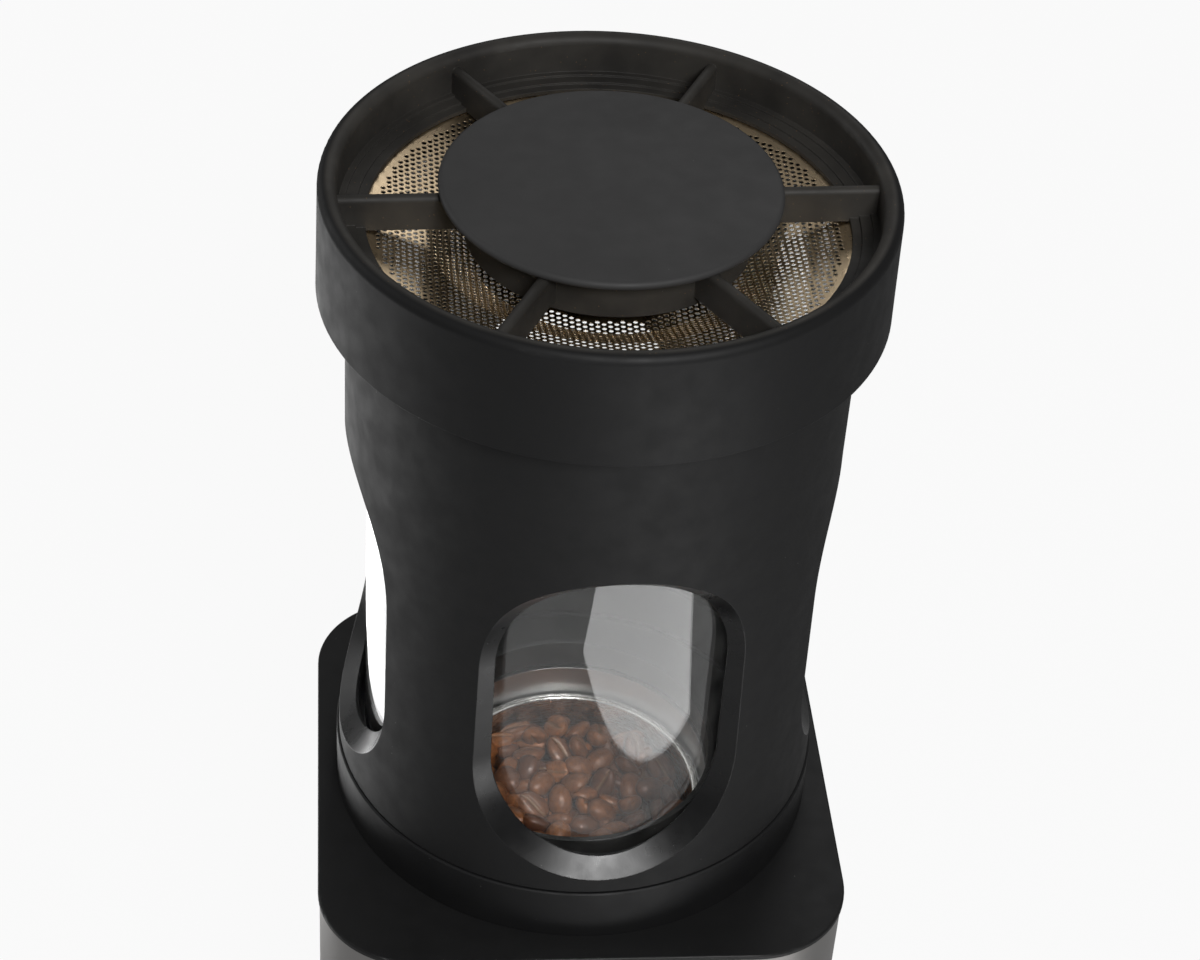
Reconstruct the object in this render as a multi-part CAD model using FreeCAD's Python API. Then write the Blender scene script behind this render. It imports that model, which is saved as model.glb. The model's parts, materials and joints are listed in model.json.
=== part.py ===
"""Home coffee bean roaster.

A fan in the base blows air up through a heater into a lift-out metal cup of beans.
The collector on top catches the chaff, and the air leaves through the screen in its cap.
The model is made round the chamber's axis, X to the right, Y to the rear, Z up, and is
moved at the end so that its origin is under the middle of the whole roaster.
"""
import FreeCAD, Part
import math
import os

Vector = FreeCAD.Vector

# Fits and fasteners
slip = 0.3
snug = 0.05
thread_fit = 0.03
close_fit = 0.2
seat_gap = 0.1
cut_over = 1.0
screw_tip_gap = 1.0
screw_r = 1.5
screw_head_r = 2.8
screw_head_h = 2.0

# Collector sleeve and its windows
sleeve_r = 67.0
sleeve_flare = 1.75
sleeve_flare_height = 112.0
sleeve_wall = 4.0
sleeve_height = 171.1
window_count = 4
window_half_angle = 31.5
window_low_z = 60.0
window_straight = 33.0
window_bevel = 3.9
window_lip = 0.9
window_inner_half_width = 32.0
collector_clock = 2.3

# Liner, its seals and the chaff tray
liner_gap = 1.9
liner_wall = 2.0
liner_seal_height = 5.0
liner_seal_drop = 1.0
liner_top_gap = 0.5
foot_seal = 1.2
tray_gasket_t = 1.5
tray_gasket_inset = 4.0
tray_gasket_width = 9.0
tray_floor_t = 2.5
tray_wall = 1.4
tray_wall_above_sleeve_foot = 4.6
riser_height = 10.0
riser_wall = 1.5
spigot_step = 1.2

# Collar on the deck
collar_height = 16.9
collar_seam = 0.5
collar_margin = 0.65
collar_edge = 0.4
collar_screw_depth = 8.0

# Cap
cap_reach = 7.5
cap_draft = 0.5
cap_height = 32.0
cap_skirt_t = 2.5
lip_r = 2.5
cap_recess = 10.8
ledge_width = 1.7
ledge_step = 0.6
ledge_run = 2.9
screen_window_inset = 1.0
screen_flange_t = 1.2
cap_locator_t = 2.2
cap_locator_depth = 6.5
cap_web_drop = 4.0
rib_count = 6
rib_t = 3.0
rib_drop = 0.2
rib_height = 9.7
hub_r = 37.0
hub_wall = 2.2
hub_drop = 15.5
hub_web_t = 2.0
hub_web_drop = 5.0
boss_r = 5.0
disc_r = 43.8
disc_t = 2.5
disc_edge_r = 1.3
disc_crown = 0.6
disc_spigot_t = 2.6
disc_spigot_depth = 1.2

# Screen under the cap
screen_t = 0.5
screen_rim = 3.8
screen_crease_r = 46.0
screen_crease_drop = 3.2
screen_floor_r = 35.0
screen_floor_drop = 8.7
retainer_t = 2.2
retainer_inset = 0.6
gasket_t = 1.5
screen_screw_r = 1.9
screen_washer_r = 7.0
screen_washer_t = 1.0
screen_screw_head_r = 3.6
screen_screw_head_h = 2.2

# Roast cup and beans
cup_r = 37.4
cup_wall = 0.8
cup_height = 58.0
cup_rim_bead_r = 0.9
cup_floor_t = 1.2
cup_slot_count = 18
cup_slot_length = 14.0
cup_slot_width = 1.2
cup_slot_slant = 25.0
cup_slot_margin = 4.0
rim_recess = 10.0
bean_length = 10.5
bean_r = 3.5
bean_rows = 4
bean_row_gap = 9.4
bean_headroom = 6.5
bean_lift = 0.4
bean_crown = 1.2
bean_gap = 1.5
bean_scatter = 18.0
bean_row_turn = 25.0

# Well that the cup hangs in, and the swirl plate under it
well_wall = 1.5
well_gap = 0.7
well_fit = 0.5
well_lip = 6.2
well_lip_t = 2.0
well_flange_r = 52.0
well_flange_t = 2.0
well_seat_t = 1.5
well_screw_cover = 2.0
well_screw_shift = 1.0
insulation_t = 6.7
insulation_end_gap = 4.0
swirl_t = 1.0
swirl_slot_count = 12
swirl_slot_length = 17.0
swirl_slot_width = 2.0
swirl_slot_margin = 7.5
cup_gap = 1.0

# Base
deck_margin = 5.6
base_squash = 2.0
base_corner_r = 27.8
axis_setback = 4.0
deck_edge_t = 1.5
deck_edge_fillet = 0.6
deck_plug_t = 2.5
deck_skirt_h = 8.0
deck_skirt_t = 2.0
deck_overhang = 0.5
wrap_t = 1.2
foot_h = 4.0
foot_r = 8.0
foot_stem_r = 2.5
foot_stem_over = 1.0
foot_inset = 25.0
floor_t = 3.0
floor_lip_t = 1.5
grille_hole_r = 2.0
grille_pitch = 6.4
grille_r = 27.0
post_r = 4.5
post_inset = 6.0
post_boss_r = 5.5
post_boss_h = 5.0
case_screw_depth = 18.0

# Fan and motor
fan_gap = 2.0
fan_h = 27.0
fan_r = 46.0
fan_wall = 1.5
fan_rib_inset = 1.0
fan_rib_t = 2.0
fan_eye_r = 18.0
fan_cover_t = 2.0
fan_port_count = 8
fan_port_r = 7.0
impeller_gap = 3.0
impeller_plate_t = 2.0
impeller_hub_r = 6.0
impeller_hub_h = 9.0
blade_count = 9
blade_t = 1.4
blade_sweep = 38.0
blade_bow = 0.36
shaft_r = 2.5
motor_r = 17.0
motor_h = 28.0
motor_wall = 1.2
motor_end_t = 2.0
bearing_r = 5.0
bearing_h = 3.5
bearing_housing_t = 1.8
stator_inner_r = 9.2
rotor_gap = 0.4
magnet_gap = 1.0
shaft_end_gap = 0.5
motor_lead_x = 5.0

# Duct, heater and probe
duct_r = 36.5
duct_wall = 1.5
duct_shoulder_h = 12.0
duct_flange_t = 1.5
duct_shoulder_step = 0.5
heater_gap = 3.0
heater_h = 19.0
heater_tube_t = 1.5
mica_t = 1.0
mica_ear_h = 3.5
coil_r = 28.5
coil_wire_r = 0.7
coil_turns = 4
coil_margin = 1.5
probe_gap = 8.0
probe_drop = 0.4
probe_r = 1.5
probe_length = 24.0
probe_flange_r = 2.6
probe_flange_t = 1.5
terminal_width = 20.0
terminal_depth = 9.0
terminal_height = 8.0

# Front panel: display, buttons, board
frame_t = 1.5
frame_side_clear = 0.2
frame_low_z = 44.0
frame_height = 86.0
standoff_r = 3.0
standoff_inset = 6.0
board_gap = 11.0
board_t = 1.6
board_margin = 1.0
board_screw_depth = 6.0
capacitor_r = 4.0
capacitor_h = 9.0
capacitor_x = 28.0
capacitor_pitch = 10.0
capacitor_drop = 14.0
relay_size = (16.0, 10.0, 16.0)
relay_place = (-36.0, 57.0)
converter_size = (18.0, 7.0, 16.0)
converter_place = (22.0, 25.0)
chip_size = (12.0, 5.0, 8.0)
chip_place = (-42.0, 31.0)
display_z = 112.0
display_width = 56.0
display_height = 30.0
display_frame = 3.0
display_module_inset = 1.0
button_z = 80.0
button_pitch = 20.0
button_r = 5.5
button_edge = 0.5
button_flange = 1.7
button_flange_t = 1.4
button_stem_r = 2.0
button_travel = 0.8
tact_size = 6.0
tact_h = 3.5
tact_plunger_r = 1.6
tact_plunger_h = 1.0
usb_x = 34.0
usb_z = 56.0
usb_width = 13.2
usb_height = 5.8
usb_wall = 0.4
usb_tongue_t = 1.8
usb_tongue_width = 11.0
usb_tongue_inset = 1.0
usb_back_t = 2.0

# Rear: mains inlet, switch, vents
rear_x = 30.0
rear_z = 34.0
inlet_width = 27.0
inlet_height = 20.0
inlet_depth = 14.0
inlet_recess_width = 23.0
inlet_recess_height = 15.5
inlet_floor_t = 2.5
inlet_flange = 2.0
flange_t = 1.5
blade_width = 2.0
blade_height = 4.0
blade_pitch = 7.0
blade_lift = 2.0
blade_recess = 2.0
tab_length = 5.0
switch_width = 13.0
switch_height = 19.4
switch_depth = 13.0
switch_wall = 1.5
rocker_clear = 0.3
rocker_tilt = 7.0
rocker_face = 2.6
rocker_dip = 1.0
rocker_back = 5.0
rocker_depth = 2.5
rocker_waist = 0.35
trunnion_r = 1.2
trunnion_length = 0.9
vent_count = 9
vent_pitch = 6.0
vent_width = 2.5
vent_height = 18.0
vent_z = 130.0
lead_r = 1.25
mains_lead_gap = 15.3
mains_lead_step = 4.0

# Heights, from the floor up: what is stacked in the base gives its height
floor_top = foot_h + floor_t
fan_z = floor_top + fan_gap
fan_top = fan_z + fan_h
motor_z = fan_top + fan_cover_t
motor_top = motor_z + motor_h
heater_z = motor_top + heater_gap
heater_top = heater_z + heater_h
duct_top = heater_top + probe_gap
well_floor = duct_top + well_lip_t
cup_z = well_floor + swirl_t + cup_gap
cup_top = cup_z + cup_height
deck_z = cup_top + rim_recess
plate_low = deck_z - deck_edge_t
plug_low = plate_low - deck_plug_t
post_foot_z = floor_top + post_boss_h
probe_z = heater_top + probe_gap / 2 - probe_drop
terminal_z = (heater_z + heater_top) / 2
motor_lead_z = motor_z + duct_shoulder_h / 2

# Radii and depths that follow from the ones above
sleeve_inner_r = sleeve_r - sleeve_wall
screen_window_r = sleeve_inner_r - screen_window_inset
sleeve_foot_r = sleeve_r + sleeve_flare
collar_r = sleeve_foot_r + collar_margin
base_width = 2 * (collar_r + deck_margin)
base_depth = base_width - base_squash
case_front = -(base_depth / 2 + axis_setback)
case_rear = base_depth / 2 - axis_setback
base_mid_y = -axis_setback
wrap_front = case_front + deck_overhang
wrap_rear = case_rear - deck_overhang
wrap_front_inside = wrap_front + wrap_t
wrap_rear_inside = wrap_rear - wrap_t
panel_inset = deck_overhang + wrap_t + close_fit
board_y = wrap_front_inside + board_gap
rocker_y = wrap_rear - rocker_depth
frame_width = base_width - 2 * (base_corner_r + frame_side_clear)
liner_r = sleeve_inner_r - liner_gap
tray_wall_r = sleeve_inner_r - close_fit
spigot_r = sleeve_inner_r + spigot_step
cup_rim_r = cup_r + cup_rim_bead_r + 1.0
well_r = cup_rim_r + well_gap
well_outer_r = well_r + well_wall
riser_inner_r = well_r + slip
riser_outer_r = riser_inner_r + riser_wall
well_low_r = cup_r + well_fit
cap_r = sleeve_r + cap_reach
cap_inner_r = cap_r - cap_draft - 2 * lip_r

# Collector heights, counted from the floor
tray_z = deck_z + tray_gasket_t
tray_floor = tray_z + tray_floor_t
sleeve_z = deck_z + collar_height + collar_seam
sleeve_top = sleeve_z + sleeve_height
sleeve_window_low = deck_z + window_low_z
retainer_z = sleeve_top + gasket_t
screen_rim_z = retainer_z + retainer_t
cap_seat_z = screen_rim_z + screen_t + seat_gap
ledge_z = cap_seat_z + screen_flange_t + 2 * ledge_step
lip_top = ledge_z + cap_recess
cap_z = lip_top - cap_height
screen_floor_top = screen_rim_z + screen_t - screen_floor_drop
hub_top = lip_top - disc_t - disc_crown
hub_foot = lip_top - hub_drop

# The origin is under the middle of the whole roaster's box
origin_shift = Vector(0, -(case_front + cap_r) / 2, 0)


def outline(points, place):
    """Closed wire through points; a point marked "mid" is the middle of an arc."""
    edges = []
    start = points[0]
    middle = None
    for point in points[1:] + points[:1]:
        if len(point) == 3:
            middle = place(point)
        elif middle:
            edges.append(Part.Arc(place(start), middle, place(point)).toShape())
            start, middle = point, None
        else:
            edges.append(Part.makeLine(place(start), place(point)))
            start = point
    return Part.Wire(edges)


def revolved(points):
    """Solid of revolution about the chamber's axis from an outline of (r, z) points."""
    wire = outline(points, lambda p: Vector(p[0], 0, p[1]))
    return Part.Face(wire).revolve(Vector(0, 0, 0), Vector(0, 0, 1), 360)


def ring(inner, outer, low, high):
    return revolved([(inner, low), (outer, low), (outer, high), (inner, high)])


def rod(radius, start, end):
    start = Vector(*start)
    run = Vector(*end) - start
    return Part.makeCylinder(radius, run.Length, start, run)


def block(low, high):
    size = Vector(*high) - Vector(*low)
    return Part.makeBox(size.x, size.y, size.z, Vector(*low))


def rounded_block(inset, low, high):
    """The base's rounded square, smaller by inset on every side, between two heights."""
    half_x = base_width / 2 - inset
    half_y = base_depth / 2 - inset
    corner = base_corner_r - inset
    solid = block((-half_x, base_mid_y - half_y, low), (half_x, base_mid_y + half_y, high))
    upright = [e for e in solid.Edges if abs(e.tangentAt(e.FirstParameter).z) > 0.99]
    return solid.makeFillet(corner, upright)


def turned(shape, angle):
    copy = shape.copy()
    copy.rotate(Vector(0, 0, 0), Vector(0, 0, 1), angle)
    return copy


def around(shape, count, first=0.0):
    """Copies of a shape, evenly spaced round the chamber's axis."""
    return [turned(shape, first + 360.0 * k / count) for k in range(count)]


def moved(shape, x=0.0, y=0.0, z=0.0):
    copy = shape.copy()
    copy.translate(Vector(x, y, z))
    return copy


def joined(shapes):
    return shapes[0].fuse(shapes[1:]).removeSplitter()


def base_corners(inset):
    """Four points set in from the base's corners, alike in X and Y."""
    reach_x = base_width / 2 - inset
    reach_y = base_depth / 2 - inset
    return [(sx * reach_x, base_mid_y + sy * reach_y) for sx in (-1, 1) for sy in (-1, 1)]


def post_places():
    """Case posts stand on the diagonals of the rounded corners."""
    inset = base_corner_r * (1 - math.sqrt(0.5)) + post_inset
    return base_corners(inset)


def screw(x, y, head_z, tip_z):
    """Pan-head screw, upright, with its head below or above its shank."""
    down = 1 if tip_z > head_z else -1
    head = rod(screw_head_r, (x, y, head_z), (x, y, head_z + down * screw_head_h))
    shank = rod(screw_r, (x, y, head_z + down * screw_head_h), (x, y, tip_z))
    return head.fuse(shank)


# Cap

def cap_ring():
    """Skirt, rounded lip, ledges, six ribs and hub, moulded in one."""
    top_r = cap_r - cap_draft
    locator_r = sleeve_r + slip
    flange_z = cap_seat_z + screen_flange_t
    ledge_in = cap_inner_r - ledge_width
    step_in = ledge_in - ledge_run
    step_z = ledge_z - ledge_step
    channel_z = ledge_z - cap_web_drop
    skirt_in = cap_r - cap_skirt_t
    body = revolved([
        (cap_r, cap_z),
        (top_r, lip_top - lip_r),
        (top_r - lip_r, lip_top, "mid"),
        (cap_inner_r, lip_top - lip_r),
        (cap_inner_r, ledge_z),
        (ledge_in, ledge_z),
        (ledge_in, step_z),
        (step_in, step_z),
        (step_in, flange_z),
        (screen_window_r, flange_z),
        (screen_window_r, cap_seat_z),
        (locator_r, cap_seat_z),
        (locator_r, sleeve_top - cap_locator_depth),
        (locator_r + cap_locator_t, sleeve_top - cap_locator_depth),
        (locator_r + cap_locator_t, channel_z),
        (skirt_in - cap_draft, channel_z),
        (skirt_in, cap_z),
    ])
    web_top = hub_top - hub_web_drop + hub_web_t
    hub = ring(hub_r - hub_wall, hub_r, hub_foot, hub_top)
    web = rod(hub_r - hub_wall, (0, 0, web_top - hub_web_t), (0, 0, web_top))
    boss = rod(boss_r, (0, 0, screen_floor_top), (0, 0, web_top))
    bore = rod(screen_screw_r + thread_fit, (0, 0, screen_floor_top), (0, 0, web_top - hub_web_t))
    ribs = around(cap_rib(), rib_count, collector_clock)
    return joined([body, hub, web, boss] + ribs).cut(bore)


def cap_rib():
    """One rib along +X, from the hub to the ring, with a rounded top edge."""
    half = rib_t / 2
    top = hub_top - rib_drop
    low = top - rib_height
    start = hub_r - hub_wall / 2
    profile = outline(
        [(-half, low), (half, low), (half, top - half), (0, top, "mid"), (-half, top - half)],
        lambda p: Vector(start, p[0], p[1]),
    )
    return Part.Face(profile).extrude(Vector(cap_inner_r + lip_r / 2 - start, 0, 0))


def cap_disc():
    """Plain crowned disc with a ring below that drops into the hub."""
    spigot_r = hub_r - hub_wall - slip / 2
    edge_top = hub_top + disc_t
    corner = disc_edge_r * (1 - math.sqrt(0.5))
    crown_r = disc_r - disc_edge_r
    flat_r = crown_r / 8
    crown_mid_z = edge_top + 0.75 * disc_crown
    return revolved([
        (0, hub_top),
        (spigot_r - disc_spigot_t, hub_top),
        (spigot_r - disc_spigot_t, hub_top - disc_spigot_depth),
        (spigot_r, hub_top - disc_spigot_depth),
        (spigot_r, hub_top),
        (crown_r, hub_top),
        (disc_r - corner, hub_top + corner, "mid"),
        (disc_r, hub_top + disc_edge_r),
        (disc_r - corner, edge_top - corner, "mid"),
        (crown_r, edge_top),
        ((crown_r + flat_r) / 2, crown_mid_z, "mid"),
        (flat_r, edge_top + disc_crown),
        (0, edge_top + disc_crown),
    ])


def screen():
    """Dished sheet under the ribs, clamped at its rim and at the hub's boss."""
    top = screen_rim_z + screen_t
    hole = screen_screw_r + slip
    upper = [
        (screen_window_r + screen_rim, top),
        (screen_window_r, top),
        (screen_crease_r, top - screen_crease_drop),
        (screen_floor_r, screen_floor_top),
        (hole, screen_floor_top),
    ]
    lower = [(r, z - screen_t) for r, z in reversed(upper)]
    return revolved(upper + lower)


def screen_retainer():
    return ring(screen_window_r + retainer_inset, sleeve_r - seat_gap, retainer_z, screen_rim_z)


def cap_gasket():
    return ring(sleeve_inner_r, sleeve_r - close_fit, sleeve_top, retainer_z)


def screen_screw():
    low = screen_floor_top - screen_t - screen_washer_t
    head = rod(screen_screw_head_r, (0, 0, low - screen_screw_head_h), (0, 0, low))
    shank = rod(screen_screw_r, (0, 0, low), (0, 0, hub_top - hub_web_drop))
    return head.fuse(shank)


def screen_washer():
    top = screen_floor_top - screen_t
    return ring(screen_screw_r + slip, screen_washer_r, top - screen_washer_t, top)


# Collector

def obround(half_width, end_height, depth):
    """Wire in the plane y = -depth: two upright lines joined by half ellipses."""
    low = Vector(0, -depth, sleeve_window_low)
    arc = Part.Arc(Vector(-1, 0, 0), Vector(0, 0, -1), Vector(1, 0, 0)).toShape()
    squeeze = FreeCAD.Matrix(half_width, 0, 0, 0, 0, 1, 0, 0, 0, 0, end_height, 0, 0, 0, 0, 1)
    foot = arc.transformGeometry(squeeze)
    head = foot.copy()
    head.rotate(Vector(0, 0, 0), Vector(0, 1, 0), 180)
    foot.translate(low)
    head.translate(low + Vector(0, 0, window_straight))
    right, left = Vector(half_width, 0, 0), Vector(-half_width, 0, 0)
    rise = Vector(0, 0, window_straight)
    sides = [Part.makeLine(low + right, low + right + rise), Part.makeLine(low + left + rise, low + left)]
    return Part.Wire([foot, sides[0], head, sides[1]])


def window_cutter():
    """Tool for the front window: a bevel narrowing inwards, then a short straight lip."""
    outer_r = (sleeve_r + sleeve_foot_r) / 2
    inner_r = sleeve_inner_r + window_lip
    outer_angle = math.radians(window_half_angle)
    inner_angle = window_inner_half_width / inner_r
    outer_x, outer_y = outer_r * math.sin(outer_angle), outer_r * math.cos(outer_angle)
    inner_x, inner_y = inner_r * math.sin(inner_angle), inner_r * math.cos(inner_angle)
    end_height = outer_r * outer_angle
    side_slope = (outer_x - inner_x) / (outer_y - inner_y)
    end_slope = window_bevel / (outer_r - inner_r)
    near, far = sleeve_foot_r + cut_over, inner_y - cut_over

    def bevel_wire(depth):
        width = outer_x + side_slope * (depth - outer_y)
        height = end_height + end_slope * (depth - outer_r)
        return obround(width, height, depth)

    bevel = Part.makeLoft([bevel_wire(near), bevel_wire(far)], True, True)
    lip = Part.Face(obround(inner_x, end_height - window_bevel, near))
    return bevel.fuse(lip.extrude(Vector(0, near - inner_y + sleeve_inner_r / 3, 0)))


def collector_sleeve():
    """Tapered shell with bevelled obround windows on four sides."""
    shell = revolved([
        (sleeve_inner_r, sleeve_z),
        (sleeve_foot_r, sleeve_z),
        (sleeve_r, sleeve_z + sleeve_flare_height),
        (sleeve_r, sleeve_top),
        (sleeve_inner_r, sleeve_top),
    ])
    for cutter in around(window_cutter(), window_count, collector_clock):
        shell = shell.cut(cutter)
    return shell


def liner():
    return ring(liner_r - liner_wall, liner_r, tray_floor + foot_seal, sleeve_top - liner_top_gap)


def liner_seals():
    """One ring under the liner, one between its top and the sleeve."""
    top = sleeve_top - liner_seal_drop
    foot = ring(liner_r - liner_wall, liner_r, tray_floor, tray_floor + foot_seal)
    head = ring(liner_r, sleeve_inner_r, top - liner_seal_height, top)
    return Part.makeCompound([foot, head])


def chaff_tray():
    """Floor of the collector, with a riser round the cup's mouth and a spigot for the collar."""
    wall_in = tray_wall_r - tray_wall
    wall_top = sleeve_z + tray_wall_above_sleeve_foot
    return revolved([
        (riser_inner_r, tray_z),
        (spigot_r, tray_z),
        (spigot_r, sleeve_z),
        (tray_wall_r, sleeve_z),
        (tray_wall_r, wall_top),
        (wall_in, wall_top),
        (wall_in, tray_floor),
        (riser_outer_r, tray_floor),
        (riser_outer_r, deck_z + riser_height),
        (riser_inner_r, deck_z + riser_height),
    ])


def tray_gasket():
    outer = spigot_r - tray_gasket_inset
    return ring(outer - tray_gasket_width, outer, deck_z, tray_z)


# Cup

def roast_cup():
    """Thin metal cup with a rolled rim that hangs on the well's step."""
    bead_mid_r = cup_rim_r - cup_rim_bead_r
    rim_low = cup_top - 2 * cup_rim_bead_r
    return revolved([
        (cup_r - cup_wall, cup_z + cup_floor_t),
        (cup_r - cup_wall, cup_top - cup_wall),
        (cup_r - cup_wall / 2, cup_top, "mid"),
        (bead_mid_r, cup_top),
        (cup_rim_r, cup_top - cup_rim_bead_r, "mid"),
        (bead_mid_r, rim_low),
        (cup_r, rim_low),
        (cup_r, cup_z + cup_floor_t),
    ])


def cup_floor():
    """Disc with slanted slots that set the air turning."""
    plate = rod(cup_r - snug, (0, 0, cup_z), (0, 0, cup_z + cup_floor_t))
    half = cup_slot_width / 2
    slot = block((0, -half, cup_z), (cup_slot_length, half, cup_z + cup_floor_t))
    slot.rotate(Vector(cup_slot_length / 2, 0, cup_z), Vector(0, 0, 1), cup_slot_slant)
    slot = moved(slot, cup_r - cup_slot_length - cup_slot_margin)
    return plate.cut(around(slot, cup_slot_count))


def bean_bed():
    """Heap of beans: a mass with its upper beans half sunk in it, higher in the middle."""
    reach = cup_r - cup_wall - slip
    edge_z = cup_top - bean_headroom
    heap = rod(reach, (0, 0, cup_z + cup_floor_t), (0, 0, edge_z))
    bean = bean_solid()
    for row in range(bean_rows):
        radius = row * bean_row_gap
        lift = bean_lift + bean_crown * (1 - radius / reach)
        count = max(1, int(2 * math.pi * radius / (bean_length + bean_gap)))
        for k in range(count):
            aside = turned(bean, 90 + bean_scatter * math.sin(count * k + row))
            placed = moved(aside, radius, 0, edge_z + lift)
            heap = heap.fuse(turned(placed, 360.0 * k / count + bean_row_turn * row))
    return heap


def bean_solid():
    """One bean: a short round bar with domed ends."""
    waist = bean_length / 2 - bean_r
    bend = bean_r * math.sqrt(0.5)
    wire = outline([
        (-waist - bean_r, 0), (-waist - bend, bend, "mid"), (-waist, bean_r),
        (waist, bean_r), (waist + bend, bend, "mid"), (waist + bean_r, 0),
    ], lambda p: Vector(p[0], 0, p[1]))
    return Part.Face(wire).revolve(Vector(0, 0, 0), Vector(1, 0, 0), 360)


# Base shells

def deck():
    """Flat top with a thin edge over the wrap, a skirt inside it and four case posts."""
    skirt_low = plug_low - deck_skirt_h
    plate = rounded_block(0, plate_low, deck_z)
    top_edges = [e for e in plate.Edges if min(v.Z for v in e.Vertexes) > deck_z - snug]
    plate = plate.makeFillet(deck_edge_fillet, top_edges)
    plug = rounded_block(panel_inset, plug_low, plate_low)
    skirt = rounded_block(panel_inset, skirt_low, plug_low)
    skirt = skirt.cut(rounded_block(panel_inset + deck_skirt_t, skirt_low, plug_low))
    shapes = [plate, plug, skirt]
    for x, y in post_places():
        shapes.append(rod(post_r, (x, y, post_foot_z), (x, y, plug_low)))
    body = joined(shapes)
    body = body.cut(rod(well_outer_r + slip, (0, 0, plug_low), (0, 0, deck_z)))
    post_hole_top = post_foot_z + case_screw_depth + screw_tip_gap
    well_hole_top = deck_z - well_screw_cover + screw_tip_gap
    thread_r = screw_r + thread_fit
    holes = [rod(thread_r, (x, y, post_foot_z), (x, y, post_hole_top)) for x, y in post_places()]
    holes += [rod(thread_r, (x, y, plug_low), (x, y, well_hole_top)) for x, y in well_screw_places()]
    holes += [rod(screw_r + slip, (x, y, plug_low), (x, y, deck_z)) for x, y in collar_screw_places()]
    return body.cut(holes)


def collar_screw_places():
    radius = (spigot_r + slip + collar_r) / 2
    return polar_places(radius, 45)


def well_screw_places():
    return polar_places((well_outer_r + well_flange_r) / 2 + well_screw_shift, 45)


def polar_places(radius, first):
    angles = [math.radians(first + 90 * k) for k in range(4)]
    return [(radius * math.cos(a), radius * math.sin(a)) for a in angles]


def deck_collar():
    """Ring on the deck that the collector's spigot drops into."""
    bore_r = spigot_r + slip
    top = deck_z + collar_height
    body = revolved([
        (bore_r, deck_z),
        (collar_r, deck_z),
        (collar_r, top - collar_edge),
        (collar_r - collar_edge, top),
        (bore_r + collar_edge, top),
        (bore_r, top - collar_edge),
    ])
    hole_top = deck_z + collar_screw_depth + screw_tip_gap
    holes = [rod(screw_r + thread_fit, (x, y, deck_z), (x, y, hole_top)) for x, y in collar_screw_places()]
    return body.cut(holes)


def collar_screws():
    head_z = plug_low - screw_head_h
    tip_z = deck_z + collar_screw_depth
    return Part.makeCompound([screw(x, y, head_z, tip_z) for x, y in collar_screw_places()])


def case_wrap():
    """Sheet-metal wrap round the base, pierced for the panel, the rear fittings and the vents."""
    low, high = foot_h + floor_lip_t, plate_low
    wrap = rounded_block(deck_overhang, low, high).cut(rounded_block(deck_overhang + wrap_t, low, high))
    front = (wrap_front - cut_over, wrap_front_inside + cut_over)
    rear = (wrap_rear_inside - cut_over, wrap_rear + cut_over)
    loose, tight = 2 * close_fit, 2 * seat_gap
    holes = [plate_hole(0, display_z, display_width + loose, display_height + loose, front)]
    holes.append(plate_hole(usb_x, usb_z, usb_width + loose, usb_height + loose, front))
    holes += [rod(button_r + slip, (x, front[0], button_z), (x, front[1], button_z)) for x in button_places()]
    holes.append(plate_hole(-rear_x, rear_z, inlet_width + tight, inlet_height + tight, rear))
    holes.append(plate_hole(rear_x, rear_z, switch_width + tight, switch_height + tight, rear))
    for k in range(vent_count):
        x = (k - (vent_count - 1) / 2) * vent_pitch
        holes.append(plate_hole(x, vent_z, vent_width, vent_height, rear))
    return wrap.cut(holes)


def plate_hole(x, z, width, height, span):
    return block((x - width / 2, span[0], z - height / 2), (x + width / 2, span[1], z + height / 2))


def button_places():
    return [-button_pitch, 0.0, button_pitch]


def floor_plate():
    """Bottom of the case, with the intake grille, foot sockets and screw bosses."""
    lip = rounded_block(deck_overhang, foot_h, foot_h + floor_lip_t)
    plate = rounded_block(panel_inset, foot_h + floor_lip_t, floor_top)
    shapes = [lip, plate]
    for x, y in post_places():
        shapes.append(rod(post_boss_r, (x, y, floor_top), (x, y, floor_top + post_boss_h)))
    body = joined(shapes)
    holes = []
    for x, y in post_places():
        holes.append(rod(screw_r + slip, (x, y, foot_h), (x, y, floor_top + post_boss_h)))
        holes.append(rod(screw_head_r + slip, (x, y, foot_h), (x, y, foot_h + screw_head_h)))
    for x, y in base_corners(foot_inset):
        holes.append(rod(foot_stem_r, (x, y, foot_h), (x, y, floor_top)))
    for x, y in grille_places():
        holes.append(rod(grille_hole_r, (x, y, foot_h), (x, y, floor_top)))
    return body.cut(holes)


def grille_places():
    """Hexagonal grid of holes under the fan's eye."""
    steps = int(grille_r / grille_pitch) + 1
    places = []
    for row in range(-steps, steps + 1):
        for column in range(-steps, steps + 1):
            x = (column + 0.5 * (row % 2)) * grille_pitch
            y = row * grille_pitch * math.sqrt(3) / 2
            if math.hypot(x, y) <= grille_r:
                places.append((x, y))
    return places


def feet():
    """Rubber feet, each with a stem pushed up through the floor plate."""
    solids = []
    for x, y in base_corners(foot_inset):
        pad = rod(foot_r, (x, y, 0), (x, y, foot_h))
        stem = rod(foot_stem_r, (x, y, foot_h), (x, y, floor_top + foot_stem_over))
        solids.append(pad.fuse(stem))
    return Part.makeCompound(solids)


def case_screws():
    head_z = foot_h
    tip_z = post_foot_z + case_screw_depth
    return Part.makeCompound([screw(x, y, head_z, tip_z) for x, y in post_places()])


# Well and air path

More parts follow.
